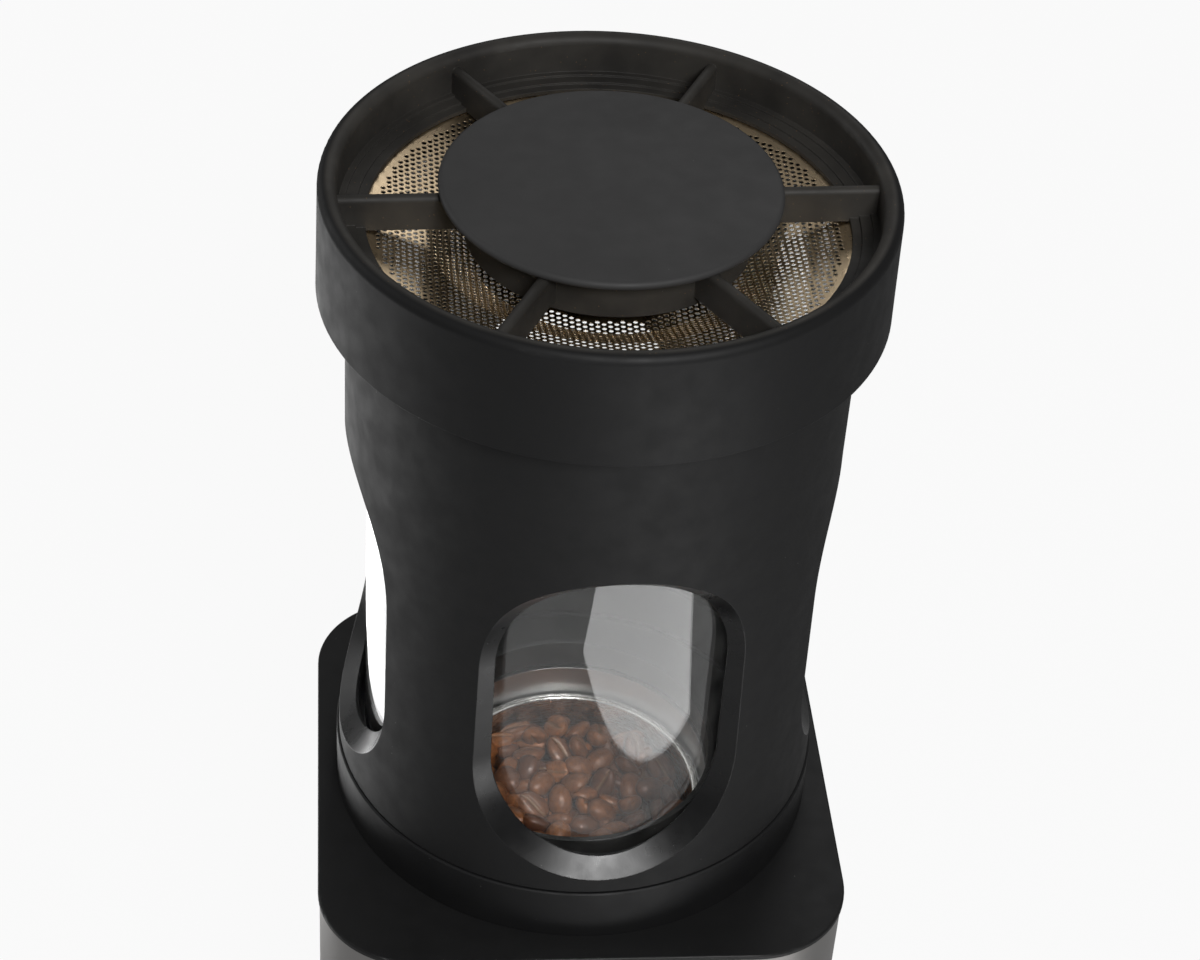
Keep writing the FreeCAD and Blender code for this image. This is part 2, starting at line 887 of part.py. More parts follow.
def chamber_well():
    """Socket under the deck that the cup hangs in."""
    seat_z = cup_top - 2 * cup_rim_bead_r
    lower_outer = well_low_r + well_wall
    body = revolved([
        (well_r, deck_z - slip),
        (well_outer_r, deck_z - slip),
        (well_outer_r, plug_low),
        (well_flange_r, plug_low),
        (well_flange_r, plug_low - well_flange_t),
        (well_outer_r, plug_low - well_flange_t),
        (well_outer_r, seat_z - well_seat_t),
        (lower_outer, seat_z - well_seat_t),
        (lower_outer, duct_top),
        (well_low_r - well_lip, duct_top),
        (well_low_r - well_lip, well_floor),
        (well_low_r, well_floor),
        (well_low_r, seat_z),
        (well_r, seat_z),
    ])
    hole_low = plug_low - well_flange_t
    return body.cut([rod(screw_r + slip, (x, y, hole_low), (x, y, plug_low)) for x, y in well_screw_places()])


def well_screws():
    head_z = plug_low - well_flange_t - screw_head_h
    tip_z = deck_z - well_screw_cover
    return Part.makeCompound([screw(x, y, head_z, tip_z) for x, y in well_screw_places()])


def well_insulation():
    inner = well_low_r + well_wall + slip
    high = cup_top - 2 * cup_rim_bead_r - well_seat_t - insulation_end_gap
    return ring(inner, inner + insulation_t, duct_top + insulation_end_gap, high)


def swirl_plate():
    """Slotted disc on the well's lip, under the cup."""
    radius = well_low_r - slip
    plate = rod(radius, (0, 0, well_floor), (0, 0, well_floor + swirl_t))
    half = swirl_slot_width / 2
    slot_end = radius - swirl_slot_margin
    slot = block((slot_end - swirl_slot_length, -half, well_floor), (slot_end, half, well_floor + swirl_t))
    return plate.cut(around(slot, swirl_slot_count))


def air_duct():
    """Funnel from the fan to the well, open at both ends."""
    shoulder = motor_z + duct_shoulder_h
    flange_r = well_low_r + well_wall
    duct_inner_r = duct_r - duct_wall
    body = revolved([
        (fan_r - duct_wall, motor_z),
        (fan_r, motor_z),
        (fan_r, shoulder),
        (duct_r, motor_top),
        (duct_r, duct_top - duct_flange_t),
        (flange_r, duct_top - duct_flange_t),
        (flange_r, duct_top),
        (duct_inner_r, duct_top),
        (duct_inner_r, motor_top),
        (fan_r - duct_wall, shoulder - duct_shoulder_step),
    ])
    holes = [rod(probe_r + snug, (duct_inner_r - cut_over, 0, probe_z), (duct_r + cut_over, 0, probe_z))]
    for x in (-motor_lead_x, motor_lead_x):
        start, end = (x, -fan_r - cut_over, motor_lead_z), (x, -motor_r - cut_over, motor_lead_z)
        holes.append(rod(lead_r + slip, start, end))
    return body.cut(holes)


def heater_tube():
    outer = duct_r - duct_wall - slip
    return ring(outer - heater_tube_t, outer, heater_z, heater_top)


def heater_former():
    """Crossed mica plates, cut back where the coil is wound on them."""
    reach = duct_r - duct_wall - slip - heater_tube_t - slip
    waist = coil_r - coil_wire_r - seat_gap
    low, high = heater_z + mica_ear_h, heater_top - mica_ear_h
    profile = [
        (-reach, heater_z), (reach, heater_z), (reach, low), (waist, low), (waist, high), (reach, high),
        (reach, heater_top), (-reach, heater_top), (-reach, high), (-waist, high), (-waist, low),
        (-reach, low),
    ]
    wire = outline(profile, lambda p: Vector(p[0], -mica_t / 2, p[1]))
    plate = Part.Face(wire).extrude(Vector(0, mica_t, 0))
    return joined([turned(plate, 60 * k) for k in range(3)])


def heater_coil():
    """Wire wound on the former: one tube along a helix of quarter-turn biarcs."""
    low = heater_z + mica_ear_h + coil_margin
    rise = heater_h - 2 * (mica_ear_h + coil_margin)
    steps = 4 * coil_turns

    def place(k):
        angle = math.pi / 2 * k
        return Vector(coil_r * math.cos(angle), coil_r * math.sin(angle), low + rise * k / steps)

    def heading(k):
        angle = math.pi / 2 * k
        slope = rise / (steps * math.pi / 2 * coil_r)
        return Vector(-math.sin(angle), math.cos(angle), slope).normalize()

    edges = []
    for k in range(steps):
        edges += biarc(place(k), heading(k), place(k + 1), heading(k + 1))
    path = Part.Wire(edges)
    section = Part.Wire(Part.makeCircle(coil_wire_r, place(0), heading(0)))
    return path.makePipeShell([section], True, False)


def biarc(start, start_way, end, end_way):
    """Two arcs between two points, tangent to a direction at each and to one another."""
    run = end - start
    ways = start_way + end_way
    spread = 2 * (1 - start_way.dot(end_way))
    along = run.dot(ways)
    reach = (math.sqrt(along ** 2 + spread * run.dot(run)) - along) / spread
    first, last = start + start_way * reach, end - end_way * reach
    middle = (first + last) * 0.5
    return [tangent_arc(start, first, middle), tangent_arc(middle, last, end)]


def tangent_arc(start, corner, end):
    """Arc from start to end that is tangent there to the two lines through corner."""
    chord_mid = (start + end) * 0.5
    half = (end - start).Length / 2
    side = (corner - start).Length
    height = (corner - chord_mid).Length
    radius = half * side / height
    sagitta = radius - math.sqrt(radius ** 2 - half ** 2)
    return Part.Arc(start, chord_mid + (corner - chord_mid).normalize() * sagitta, end).toShape()


def heater_terminals():
    """Insulating block on the front of the duct, where the heater's leads arrive."""
    half = terminal_width / 2
    low = terminal_z - terminal_height / 2
    body = block((-half, -duct_r - terminal_depth, low), (half, -duct_r / 2, low + terminal_height))
    return body.cut(rod(duct_r + snug, (0, 0, low), (0, 0, low + terminal_height)))


def air_probe():
    """Temperature probe through the duct wall, over the heater."""
    stem = rod(probe_r, (duct_r - probe_length, 0, probe_z), (duct_r, 0, probe_z))
    face = math.sqrt(duct_r ** 2 - probe_flange_r ** 2)
    flange = rod(probe_flange_r, (face, 0, probe_z), (duct_r + probe_flange_t, 0, probe_z))
    reach = probe_flange_r + cut_over
    flange = flange.cut(rod(duct_r + snug, (0, 0, probe_z - reach), (0, 0, probe_z + reach)))
    tail = rod(probe_r, (duct_r, 0, probe_z), (duct_r + probe_flange_t, 0, probe_z))
    return joined([stem, tail, flange])


# Fan and motor

def fan_housing():
    """Open drum with an eye over the grille, standing on a rib."""
    rib_out = fan_r - fan_rib_inset
    rib_in = rib_out - fan_rib_t
    return revolved([
        (fan_eye_r, fan_z),
        (rib_in, fan_z),
        (rib_in, floor_top),
        (rib_out, floor_top),
        (rib_out, fan_z),
        (fan_r, fan_z),
        (fan_r, fan_top),
        (fan_r - fan_wall, fan_top),
        (fan_r - fan_wall, fan_z + fan_wall),
        (fan_eye_r, fan_z + fan_wall),
    ])


def fan_cover():
    """Plate over the fan that carries the motor and lets the air past it."""
    body = ring(bearing_r + slip, fan_r, fan_top, motor_z)
    port_r = (motor_r + fan_r - fan_wall) / 2
    port = rod(fan_port_r, (port_r, 0, fan_top), (port_r, 0, motor_z))
    return body.cut(around(port, fan_port_count))


def impeller():
    """Backplate, hub and swept blades, drawn in at the eye."""
    outer = fan_r - fan_wall - impeller_gap
    top = fan_top - impeller_gap
    low = fan_z + fan_wall + impeller_gap
    plate_low = top - impeller_plate_t
    plate = rod(outer, (0, 0, plate_low), (0, 0, top))
    hub = rod(impeller_hub_r, (0, 0, plate_low - impeller_hub_h + impeller_plate_t), (0, 0, plate_low))
    blades = around(impeller_blade(fan_eye_r, outer, low, plate_low), blade_count)
    body = joined([plate, hub] + blades)
    return body.cut(rod(shaft_r + thread_fit, (0, 0, low), (0, 0, top)))


def impeller_blade(inner, outer, low, high):
    """Blade between two arcs that sweep back from the eye to the rim."""
    sweep = math.radians(blade_sweep)

    def place(radius, angle, aside):
        return Vector(radius * math.cos(angle) - aside * math.sin(angle),
                      radius * math.sin(angle) + aside * math.cos(angle), low)

    edges = []
    sides = []
    for aside in (-blade_t / 2, blade_t / 2):
        middle = place((inner + outer) / 2, sweep * blade_bow, aside)
        sides.append((place(inner, 0, aside), middle, place(outer, sweep, aside)))
    edges.append(Part.Arc(*sides[0]).toShape())
    edges.append(Part.makeLine(sides[0][2], sides[1][2]))
    edges.append(Part.Arc(*reversed(sides[1])).toShape())
    edges.append(Part.makeLine(sides[1][0], sides[0][0]))
    blade = Part.Face(Part.Wire(edges)).extrude(Vector(0, 0, high - low))
    return blade.common(rod(outer, (0, 0, low), (0, 0, high)))


def motor_shaft():
    low = fan_z + fan_wall + impeller_gap
    return rod(shaft_r, (0, 0, low), (0, 0, motor_top - motor_end_t - shaft_end_gap))


def motor_can():
    """Motor case with a bearing housing in each end."""
    low_end, high_end = motor_z + motor_end_t, motor_top - motor_end_t
    bearing_out = bearing_r + snug
    housing = bearing_out + bearing_housing_t
    return revolved([
        (bearing_out, motor_z),
        (motor_r, motor_z),
        (motor_r, motor_top),
        (0, motor_top),
        (0, high_end),
        (bearing_out, high_end),
        (bearing_out, high_end - bearing_h),
        (housing, high_end - bearing_h),
        (housing, high_end),
        (motor_r - motor_wall, high_end),
        (motor_r - motor_wall, low_end),
        (housing, low_end),
        (housing, motor_z + bearing_h),
        (bearing_out, motor_z + bearing_h),
    ])


def motor_bearings():
    inner = shaft_r + snug
    low = ring(inner, bearing_r, motor_z, motor_z + bearing_h)
    high = ring(inner, bearing_r, motor_top - motor_end_t - bearing_h, motor_top - motor_end_t)
    return Part.makeCompound([low, high])


def motor_stator():
    low, high = motor_magnet_span()
    return ring(stator_inner_r, motor_r - motor_wall - snug, low, high)


def motor_rotor():
    low, high = motor_magnet_span()
    return ring(shaft_r + thread_fit, stator_inner_r - rotor_gap, low, high)


def motor_magnet_span():
    clear = bearing_h + magnet_gap
    return motor_z + clear, motor_top - motor_end_t - clear


# Front panel

def front_frame():
    """Moulding behind the front of the wrap that holds the window, buttons and board."""
    face = wrap_front_inside
    half = frame_width / 2
    plate = block((-half, face, frame_low_z), (half, face + frame_t, frame_low_z + frame_height))
    shapes = [plate]
    for x, z in standoff_places():
        shapes.append(rod(standoff_r, (x, face + frame_t, z), (x, board_y, z)))
    span = (face - cut_over, face + frame_t + cut_over)
    inner_width, inner_height = display_width - 2 * display_frame, display_height - 2 * display_frame
    loose = 2 * close_fit
    hole_front = board_y - board_screw_depth - screw_tip_gap
    holes = [plate_hole(0, display_z, inner_width, inner_height, span)]
    holes.append(plate_hole(usb_x, usb_z, usb_width + loose, usb_height + loose, span))
    holes += [rod(button_r + slip, (x, span[0], button_z), (x, span[1], button_z)) for x in button_places()]
    holes += [rod(screw_r + thread_fit, (x, hole_front, z), (x, board_y, z)) for x, z in standoff_places()]
    return joined(shapes).cut(holes)


def standoff_places():
    reach = frame_width / 2 - standoff_inset
    low = frame_low_z + standoff_inset
    high = frame_low_z + frame_height - standoff_inset
    return [(sx * reach, z) for sx in (-1, 1) for z in (low, high)]


def control_board():
    """Circuit board behind the panel, with its larger parts on the rear face."""
    half = frame_width / 2 - board_margin
    low, high = frame_low_z + board_margin, frame_low_z + frame_height - board_margin
    rear = board_y + board_t
    body = block((-half, board_y, low), (half, rear, high))
    parts = []
    for k in range(2):
        x, z = capacitor_x + k * capacitor_pitch, high - capacitor_drop
        parts.append(rod(capacitor_r, (x, rear, z), (x, rear + capacitor_h, z)))
    boxes = ((relay_size, relay_place), (converter_size, converter_place), (chip_size, chip_place))
    for (width, depth, height), (x, z) in boxes:
        parts.append(block((x, rear, low + z), (x + width, rear + depth, low + z + height)))
    holes = [rod(screw_r + slip, (x, board_y, z), (x, rear, z)) for x, z in standoff_places()]
    return joined([body] + parts).cut(holes)


def board_screws():
    rear = board_y + board_t
    solids = []
    for x, z in standoff_places():
        head = rod(screw_head_r, (x, rear, z), (x, rear + screw_head_h, z))
        solids.append(head.fuse(rod(screw_r, (x, rear, z), (x, board_y - board_screw_depth, z))))
    return Part.makeCompound(solids)


def display_module():
    half_w = display_width / 2 - display_module_inset
    half_h = display_height / 2 - display_module_inset
    front = wrap_front_inside + frame_t + close_fit
    return block((-half_w, front, display_z - half_h), (half_w, board_y, display_z + half_h))


def display_window():
    return block((-display_width / 2, wrap_front, display_z - display_height / 2),
                 (display_width / 2, wrap_front_inside, display_z + display_height / 2))


def button(x):
    """Cap with a flange behind the frame and a stem that meets its switch."""
    flange_y = wrap_front_inside + frame_t + close_fit
    stem_end = board_y - tact_h - tact_plunger_h - button_travel - seat_gap
    wire = outline([
        (0, case_front), (button_r - button_edge, case_front), (button_r, case_front + button_edge),
        (button_r, flange_y), (button_r + button_flange, flange_y),
        (button_r + button_flange, flange_y + button_flange_t),
        (button_stem_r, flange_y + button_flange_t), (button_stem_r, stem_end), (0, stem_end),
    ], lambda p: Vector(p[0], p[1], 0))
    cap = Part.Face(wire).revolve(Vector(0, 0, 0), Vector(0, 1, 0), 360)
    return moved(cap, x, 0, button_z)


def tact_switches():
    solids = []
    half = tact_size / 2
    for x in button_places():
        body = block((x - half, board_y - tact_h, button_z - half), (x + half, board_y, button_z + half))
        top = board_y - tact_h
        solids.append(body.fuse(rod(tact_plunger_r, (x, top, button_z), (x, top - tact_plunger_h, button_z))))
    return Part.makeCompound(solids)


def usb_socket():
    """Metal shell round a tongue, soldered to the board."""
    face = wrap_front + close_fit
    back = board_y - usb_back_t
    shell = plate_hole(usb_x, usb_z, usb_width, usb_height, (face, board_y))
    inner = plate_hole(usb_x, usb_z, usb_width - 2 * usb_wall, usb_height - 2 * usb_wall, (face, back))
    tongue = plate_hole(usb_x, usb_z, usb_tongue_width, usb_tongue_t, (face + usb_tongue_inset, back))
    return shell.cut(inner).fuse(tongue)


# Rear fittings

def mains_inlet():
    """Appliance inlet: flange, body and recess."""
    rear = wrap_rear + flange_t
    body = plate_hole(-rear_x, rear_z, inlet_width, inlet_height, (wrap_rear - inlet_depth, wrap_rear))
    flange = plate_hole(-rear_x, rear_z, inlet_width + 2 * inlet_flange, inlet_height + 2 * inlet_flange,
                        (wrap_rear, rear))
    floor = wrap_rear - inlet_depth + inlet_floor_t
    recess = plate_hole(-rear_x, rear_z, inlet_recess_width, inlet_recess_height, (floor, rear))
    slots = [plate_hole(x, z, blade_width, blade_height, (wrap_rear - inlet_depth, floor))
             for x, z in blade_places()]
    return body.fuse(flange).removeSplitter().cut([recess] + slots)


def blade_places():
    """Live and neutral side by side, earth above between them."""
    return [
        (-rear_x - blade_pitch, rear_z - blade_lift),
        (-rear_x + blade_pitch, rear_z - blade_lift),
        (-rear_x, rear_z + blade_lift),
    ]


def inlet_pins():
    """Three blades through the inlet's floor, with tabs behind it."""
    back = wrap_rear - inlet_depth - tab_length
    front = wrap_rear + flange_t - blade_recess
    size = (blade_width - 2 * thread_fit, blade_height - 2 * thread_fit)
    return Part.makeCompound([plate_hole(x, z, size[0], size[1], (back, front)) for x, z in blade_places()])


def switch_frame():
    """Housing of the mains switch, open to the rear, with holes for the rocker's pins."""
    rear = wrap_rear + flange_t
    body = plate_hole(rear_x, rear_z, switch_width, switch_height, (wrap_rear - switch_depth, wrap_rear))
    flange = plate_hole(rear_x, rear_z, switch_width + 2 * inlet_flange, switch_height + 2 * inlet_flange,
                        (wrap_rear, rear))
    pocket = plate_hole(rear_x, rear_z, switch_width - 2 * switch_wall, switch_height - 2 * switch_wall,
                        (wrap_rear - switch_depth + switch_wall, rear))
    half = switch_width / 2 - switch_wall + trunnion_length + seat_gap
    pin = rod(trunnion_r + snug, (rear_x - half, rocker_y, rear_z), (rear_x + half, rocker_y, rear_z))
    tab = plate_hole(rear_x, rear_z, blade_width, blade_height,
                     (wrap_rear - switch_depth - tab_length, wrap_rear - switch_depth))
    tabs = [moved(tab, 0, 0, sz * blade_pitch / 2) for sz in (-1, 1)]
    return joined([body, flange] + tabs).cut([pocket, pin])


def power_rocker():
    """Rocker with a dipped face and a pin at each side, tipped to its off side."""
    half_w = switch_width / 2 - switch_wall - rocker_clear
    reach = switch_height / 2 - switch_wall - rocker_clear
    rise = math.sqrt(reach ** 2 - rocker_face ** 2)
    waist = reach * rocker_waist
    wire = outline([
        (-rocker_back, -waist), (-rocker_back, waist), (rocker_face, rise),
        (rocker_face - rocker_dip, 0, "mid"), (rocker_face, -rise),
    ], lambda p: Vector(rear_x - half_w, rocker_y + p[0], rear_z + p[1]))
    body = Part.Face(wire).extrude(Vector(2 * half_w, 0, 0))
    half_pin = switch_width / 2 - switch_wall + trunnion_length
    pin = rod(trunnion_r, (rear_x - half_pin, rocker_y, rear_z), (rear_x + half_pin, rocker_y, rear_z))
    rocker = joined([body, pin])
    rocker.rotate(Vector(rear_x, rocker_y, rear_z), Vector(1, 0, 0), -rocker_tilt)
    return rocker


# Leads that the case holds all the way

def lead(points):
    """Round lead along straight runs joined by tangent arcs, each as large as its runs allow."""
    points = [Vector(*p) for p in points]
    edges = []
    start = points[0]
    for before, corner, after in zip(points, points[1:], points[2:]):
        back_way, on_way = (before - corner), (after - corner)
        room = 0.45 * min(back_way.Length, on_way.Length)
        arc_start = corner + back_way.normalize() * room
        arc_end = corner + on_way.normalize() * room
        edges.append(Part.makeLine(start, arc_start))
        edges.append(tangent_arc(arc_start, corner, arc_end))
        start = arc_end
    edges.append(Part.makeLine(start, points[-1]))
    path = Part.Wire(edges)
    section = Part.Wire(Part.makeCircle(lead_r, points[0], points[1] - points[0]))
    return path.makePipeShell([section], True, False)


def mains_leads():
    """From the inlet's tabs down the left side to the board."""
    tab_y = wrap_rear - inlet_depth - tab_length
    side_x = -(fan_r + mains_lead_gap)
    board_back = board_y + board_t
    solids = []
    for rank, (x, z) in enumerate(blade_places()[:2]):
        shift = mains_lead_step * rank
        solids.append(lead([
            (x, tab_y, z),
            (x, tab_y - 7, z),
            (side_x + 10 + shift, 22, z + 3 + shift),
            (side_x + shift, -12, z + 8 + shift),
            (side_x + 8 + shift, board_back + 14, z + 14 + shift),
            (side_x + 27 + shift, board_back + 9, z + 18 + shift),
            (side_x + 27 + shift, board_back, z + 18 + shift),
        ]))
    return Part.makeCompound(solids)


def motor_leads():
    """Straight leads from the motor through the duct wall to the board."""
    face = math.sqrt(motor_r ** 2 - motor_lead_x ** 2)
    solids = []
    for x in (-motor_lead_x, motor_lead_x):
        solids.append(rod(lead_r, (x, -face, motor_lead_z), (x, board_y + board_t, motor_lead_z)))
    return Part.makeCompound(solids).cut(rod(motor_r, (0, 0, motor_z), (0, 0, motor_top)))


def heater_leads():
    half = terminal_width / 4
    near = -duct_r - terminal_depth
    return Part.makeCompound([rod(lead_r, (x, near, terminal_z), (x, board_y + board_t, terminal_z))
                              for x in (-half, half)])


NODES = {
    "cap_ring": cap_ring,
    "cap_disc": cap_disc,
    "screen": screen,
    "screen_retainer": screen_retainer,
    "cap_gasket": cap_gasket,
    "screen_screw": screen_screw,
    "screen_washer": screen_washer,
    "collector_sleeve": collector_sleeve,
    "liner": liner,
    "liner_seals": liner_seals,
    "chaff_tray": chaff_tray,
    "tray_gasket": tray_gasket,
    "roast_cup": roast_cup,
    "cup_floor": cup_floor,
    "bean_bed": bean_bed,
    "deck": deck,
    "deck_collar": deck_collar,
    "collar_screws": collar_screws,
    "case_wrap": case_wrap,
    "floor_plate": floor_plate,
    "feet": feet,
    "case_screws": case_screws,
    "chamber_well": chamber_well,
    "well_screws": well_screws,
    "well_insulation": well_insulation,
    "swirl_plate": swirl_plate,
    "air_duct": air_duct,
    "heater_tube": heater_tube,
    "heater_former": heater_former,
    "heater_coil": heater_coil,
    "heater_terminals": heater_terminals,
    "air_probe": air_probe,
    "fan_housing": fan_housing,
    "fan_cover": fan_cover,
    "impeller": impeller,
    "motor_shaft": motor_shaft,
    "motor_can": motor_can,
    "motor_bearings": motor_bearings,
    "motor_stator": motor_stator,
    "motor_rotor": motor_rotor,
    "front_frame": front_frame,
    "control_board": control_board,
    "board_screws": board_screws,
    "display_module": display_module,
    "display_window": display_window,
    "button_left": lambda: button(-button_pitch),
    "button_middle": lambda: button(0.0),
    "button_right": lambda: button(button_pitch),
    "tact_switches": tact_switches,
    "usb_socket": usb_socket,
    "mains_inlet": mains_inlet,
    "inlet_pins": inlet_pins,
    "switch_frame": switch_frame,
    "power_rocker": power_rocker,
    "mains_leads": mains_leads,
    "motor_leads": motor_leads,
    "heater_leads": heater_leads,
}

os.makedirs("parts", exist_ok=True)
for name, make in NODES.items():
    shape = make()
    shape.translate(origin_shift)
    shape.exportStep("parts/" + name + ".step")
    print(name, len(shape.Solids), round(shape.Volume, 1), shape.isValid())
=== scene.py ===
"""Looks of the home coffee bean roaster: materials, perforated screen, loose beans, light and camera."""
import json
import math
import random

import bmesh
import bpy
from mathutils import Matrix, Vector


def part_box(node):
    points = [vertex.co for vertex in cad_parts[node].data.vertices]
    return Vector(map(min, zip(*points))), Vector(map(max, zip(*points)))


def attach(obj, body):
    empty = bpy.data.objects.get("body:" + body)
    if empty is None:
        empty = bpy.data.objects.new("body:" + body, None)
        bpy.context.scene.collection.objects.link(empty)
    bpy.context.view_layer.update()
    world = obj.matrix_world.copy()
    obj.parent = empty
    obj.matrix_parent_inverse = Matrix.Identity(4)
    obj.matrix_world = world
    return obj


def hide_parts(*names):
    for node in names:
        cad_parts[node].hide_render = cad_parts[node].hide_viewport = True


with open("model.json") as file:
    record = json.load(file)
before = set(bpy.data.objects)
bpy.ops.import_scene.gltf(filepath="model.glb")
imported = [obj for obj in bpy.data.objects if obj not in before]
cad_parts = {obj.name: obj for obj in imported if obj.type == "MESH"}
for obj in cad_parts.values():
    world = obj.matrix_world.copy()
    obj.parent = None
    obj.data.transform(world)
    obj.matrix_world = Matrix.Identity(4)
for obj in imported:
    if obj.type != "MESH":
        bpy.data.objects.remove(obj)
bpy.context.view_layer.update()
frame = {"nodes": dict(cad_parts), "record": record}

MM = 0.001
NODES = frame["nodes"]
AXIS_Y = (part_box("roast_cup")[0].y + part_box("roast_cup")[1].y) / 2

# Camera, matched to the photograph
CAMERA_PLACE = Vector((-0.07055, -0.59177, 0.77141))
CAMERA_AZIMUTH = math.radians(-7.019)
CAMERA_ELEVATION = math.radians(39.655)
CAMERA_ROLL = math.radians(4.23)
CAMERA_LENS = 85.176
CAMERA_SENSOR = 36.0

# Perforated screen; the radii but the hole's are from the roaster's axis
SCREEN_PITCH = 1.83 * MM
SCREEN_HOLE_R = 0.62 * MM
SCREEN_SHEET = 0.25 * MM
SCREEN_CAD_SHEET = 0.5 * MM
SCREEN_WINDOW_R = 62.0 * MM
SCREEN_MARGIN = 1.6 * MM
SCREEN_CREASE_R = 46.0 * MM
SCREEN_CREASE_DROP = 3.2 * MM
SCREEN_FLOOR_R = 35.0 * MM
SCREEN_PLAIN_R = 30.0 * MM
SCREEN_BORE_R = 2.2 * MM

# Hexagonal cells of the screen
CELL_SIDES = 6
CELL_REACH = SCREEN_PITCH / math.sqrt(3)
CELL_OVER_RIM = 0.2 * CELL_REACH
ROW_SHARE = math.sqrt(0.75)
SAME_CORNER = 0.01 * MM

# Shape of a bean
BEAN_LENGTH = 10.2 * MM
BEAN_WIDTH = 7.6 * MM
BEAN_BACK = 3.3 * MM
BEAN_FACE = 1.7 * MM
BEAN_BLUNTNESS = 0.86
BEAN_TAPER = 0.10
BEAN_RINGS = 15
CREASE_DEGREES = (-14, -7, 0, 7, 14)
OTHER_DEGREES = range(32, 330, 27)
CREASE_SPREAD = math.radians(8)
CREASE_DEPTH = 0.9 * MM
CREASE_SWAY = 0.35 * MM
CREASE_BEND = 2.6
CREASE_PALENESS = 0.8

# Heap of beans, with turns in radians
BEAN_COUNT = 190
BEAN_TRIES = 26
BEAN_SPACING = 0.80 * (BEAN_LENGTH + BEAN_WIDTH) / 2
BEAN_THICKNESS = 0.92 * (BEAN_BACK + BEAN_FACE)
BEAN_LAYER_DEPTH = 13.0 * MM
BEAN_SIZES = (0.90, 1.08)
BEAN_FLIPPED_SHARE = 0.55
BEAN_LEAN = 0.8
BEAN_NOD = 0.35
BEAN_ROLL = 0.4
BEAN_SEED = 11
BED_SIDES = 48

# Finish
NOISE_LOW = 0.3
NOISE_HIGH = 0.7
EDGE_SAMPLES = 4
EDGE_FULL = 0.80
EDGE_NONE = 0.995
SPECK_CORE = 0.6
SPECK_BLEND = 0.02
MOULDED_EDGE_R = 0.35 * MM
MOULDED_GRAIN = 0.012 * MM
BRUSHED_EDGE_R = 0.25 * MM
BRUSHED_GRAIN = 0.01 * MM
DUST_COLOUR = (0.30, 0.29, 0.28)
FILM_COLOUR = (0.100, 0.092, 0.080)
FILM_GRAIN_COLOUR = (0.26, 0.15, 0.07)
FILM_THIN = 0.20
FILM_THICK = 0.45
FILM_CAP_R = 72.5 * MM
FILM_FADE = 1.0 * MM
# Share of the lighter colour on moulded edges: a painted highlight along them
EDGE_HIGHLIGHT_SHARE = 0.5
SHEEN_SPREAD = 0.05
EDGE_SMOOTHER = 0.10
BEVEL_SMOOTHER = 0.36
GLASS_IOR = 1.47
GLASS_DUST = (0.75, 0.73, 0.70, 1.0)
GLASS_SHADOW = (0.92, 0.93, 0.93, 1.0)
BEAN_DARK = (0.125, 0.036, 0.010)
BEAN_LIGHT = (0.500, 0.175, 0.045)
BEAN_MOTTLE = (0.060, 0.020, 0.008)
BEAN_CREASE = (0.30, 0.17, 0.085)

# Light
WHITE = (1.0, 1.0, 1.0, 1.0)
WORLD_LEVEL = 0.14
GLOSSY_WHITE = 0.08
FLOOR_WHITE = 0.94
FLOOR_COLOUR = (0.42, 0.42, 0.42, 1.0)
FLOOR_HALF = 4.0
SOFTBOX_AIM = Vector((0.0, 0.0, 0.24))
CARD_HEIGHT = 0.005


# Node helpers

def new_object(name, data):
    """Object of a mesh, a lamp or a camera, linked into the scene."""
    made = bpy.data.objects.new(name, data)
    bpy.context.scene.collection.objects.link(made)
    return made


def new_material(name):
    """A node material; returns it with its tree and its Principled shader."""
    material = bpy.data.materials.new(name)
    material.use_nodes = True
    tree = material.node_tree
    return material, tree, tree.nodes["Principled BSDF"]


def set_inputs(tree, node, inputs):
    """Sets inputs of a node, each to a constant or to another node's output."""
    for key, value in inputs.items():
        if isinstance(value, bpy.types.NodeSocket):
            tree.links.new(value, node.inputs[key])
        else:
            node.inputs[key].default_value = value


def add(tree, kind, inputs=None, **settings):
    """A new node with its settings and inputs."""
    made = tree.nodes.new("ShaderNode" + kind)
    for key, value in settings.items():
        setattr(made, key, value)
    set_inputs(tree, made, inputs or {})
    return made


def set_surface(tree, shader, output="Material Output"):
    """Makes a shader the one that is seen."""
    set_inputs(tree, tree.nodes[output], {"Surface": shader.outputs[0]})


def noise(tree, scale, detail=2.0, stretch=(1.0, 1.0, 1.0)):
    """Cloudy noise, packed closer along an axis whose stretch is more than 1."""
    coordinates = add(tree, "TexCoord").outputs["Object"]
    placed = add(tree, "Mapping", {"Vector": coordinates, "Scale": stretch}).outputs["Vector"]
    texture = add(tree, "TexNoise", {"Vector": placed, "Scale": scale, "Detail": detail})
    return texture.outputs["Fac"]


def span(tree, value, low, high, start=NOISE_LOW, end=NOISE_HIGH):
    """Value carried from the range start to end into low to high, held at both ends."""
    made = add(tree, "MapRange", {
        "Value": value, "From Min": start, "From Max": end, "To Min": low, "To Max": high})
    return made.outputs["Result"]


def rise(tree, value, start=NOISE_LOW, end=NOISE_HIGH):
    """0 below start and 1 above end."""
    return span(tree, value, 0.0, 1.0, start, end)


def fall(tree, value, start, end):
    """1 below start and 0 above end."""
    return span(tree, value, 1.0, 0.0, start, end)


def mix_colour(tree, factor, first, second):
    """Colour between two, each a tuple or a socket."""
    inputs = {"Factor": factor}
    for index, colour in ((6, first), (7, second)):
        inputs[index] = colour + (1.0,) if isinstance(colour, tuple) else colour
    return add(tree, "Mix", inputs, data_type="RGBA").outputs[2]


def scaled(colour, times):
    """Colour that is lighter or darker by a factor."""
    return tuple(times * part for part in colour)


def math_node(tree, operation, first, second):
    """Result of one operation on two numbers, held between 0 and 1."""
    return add(tree, "Math", {0: first, 1: second}, operation=operation, use_clamp=True).outputs[0]


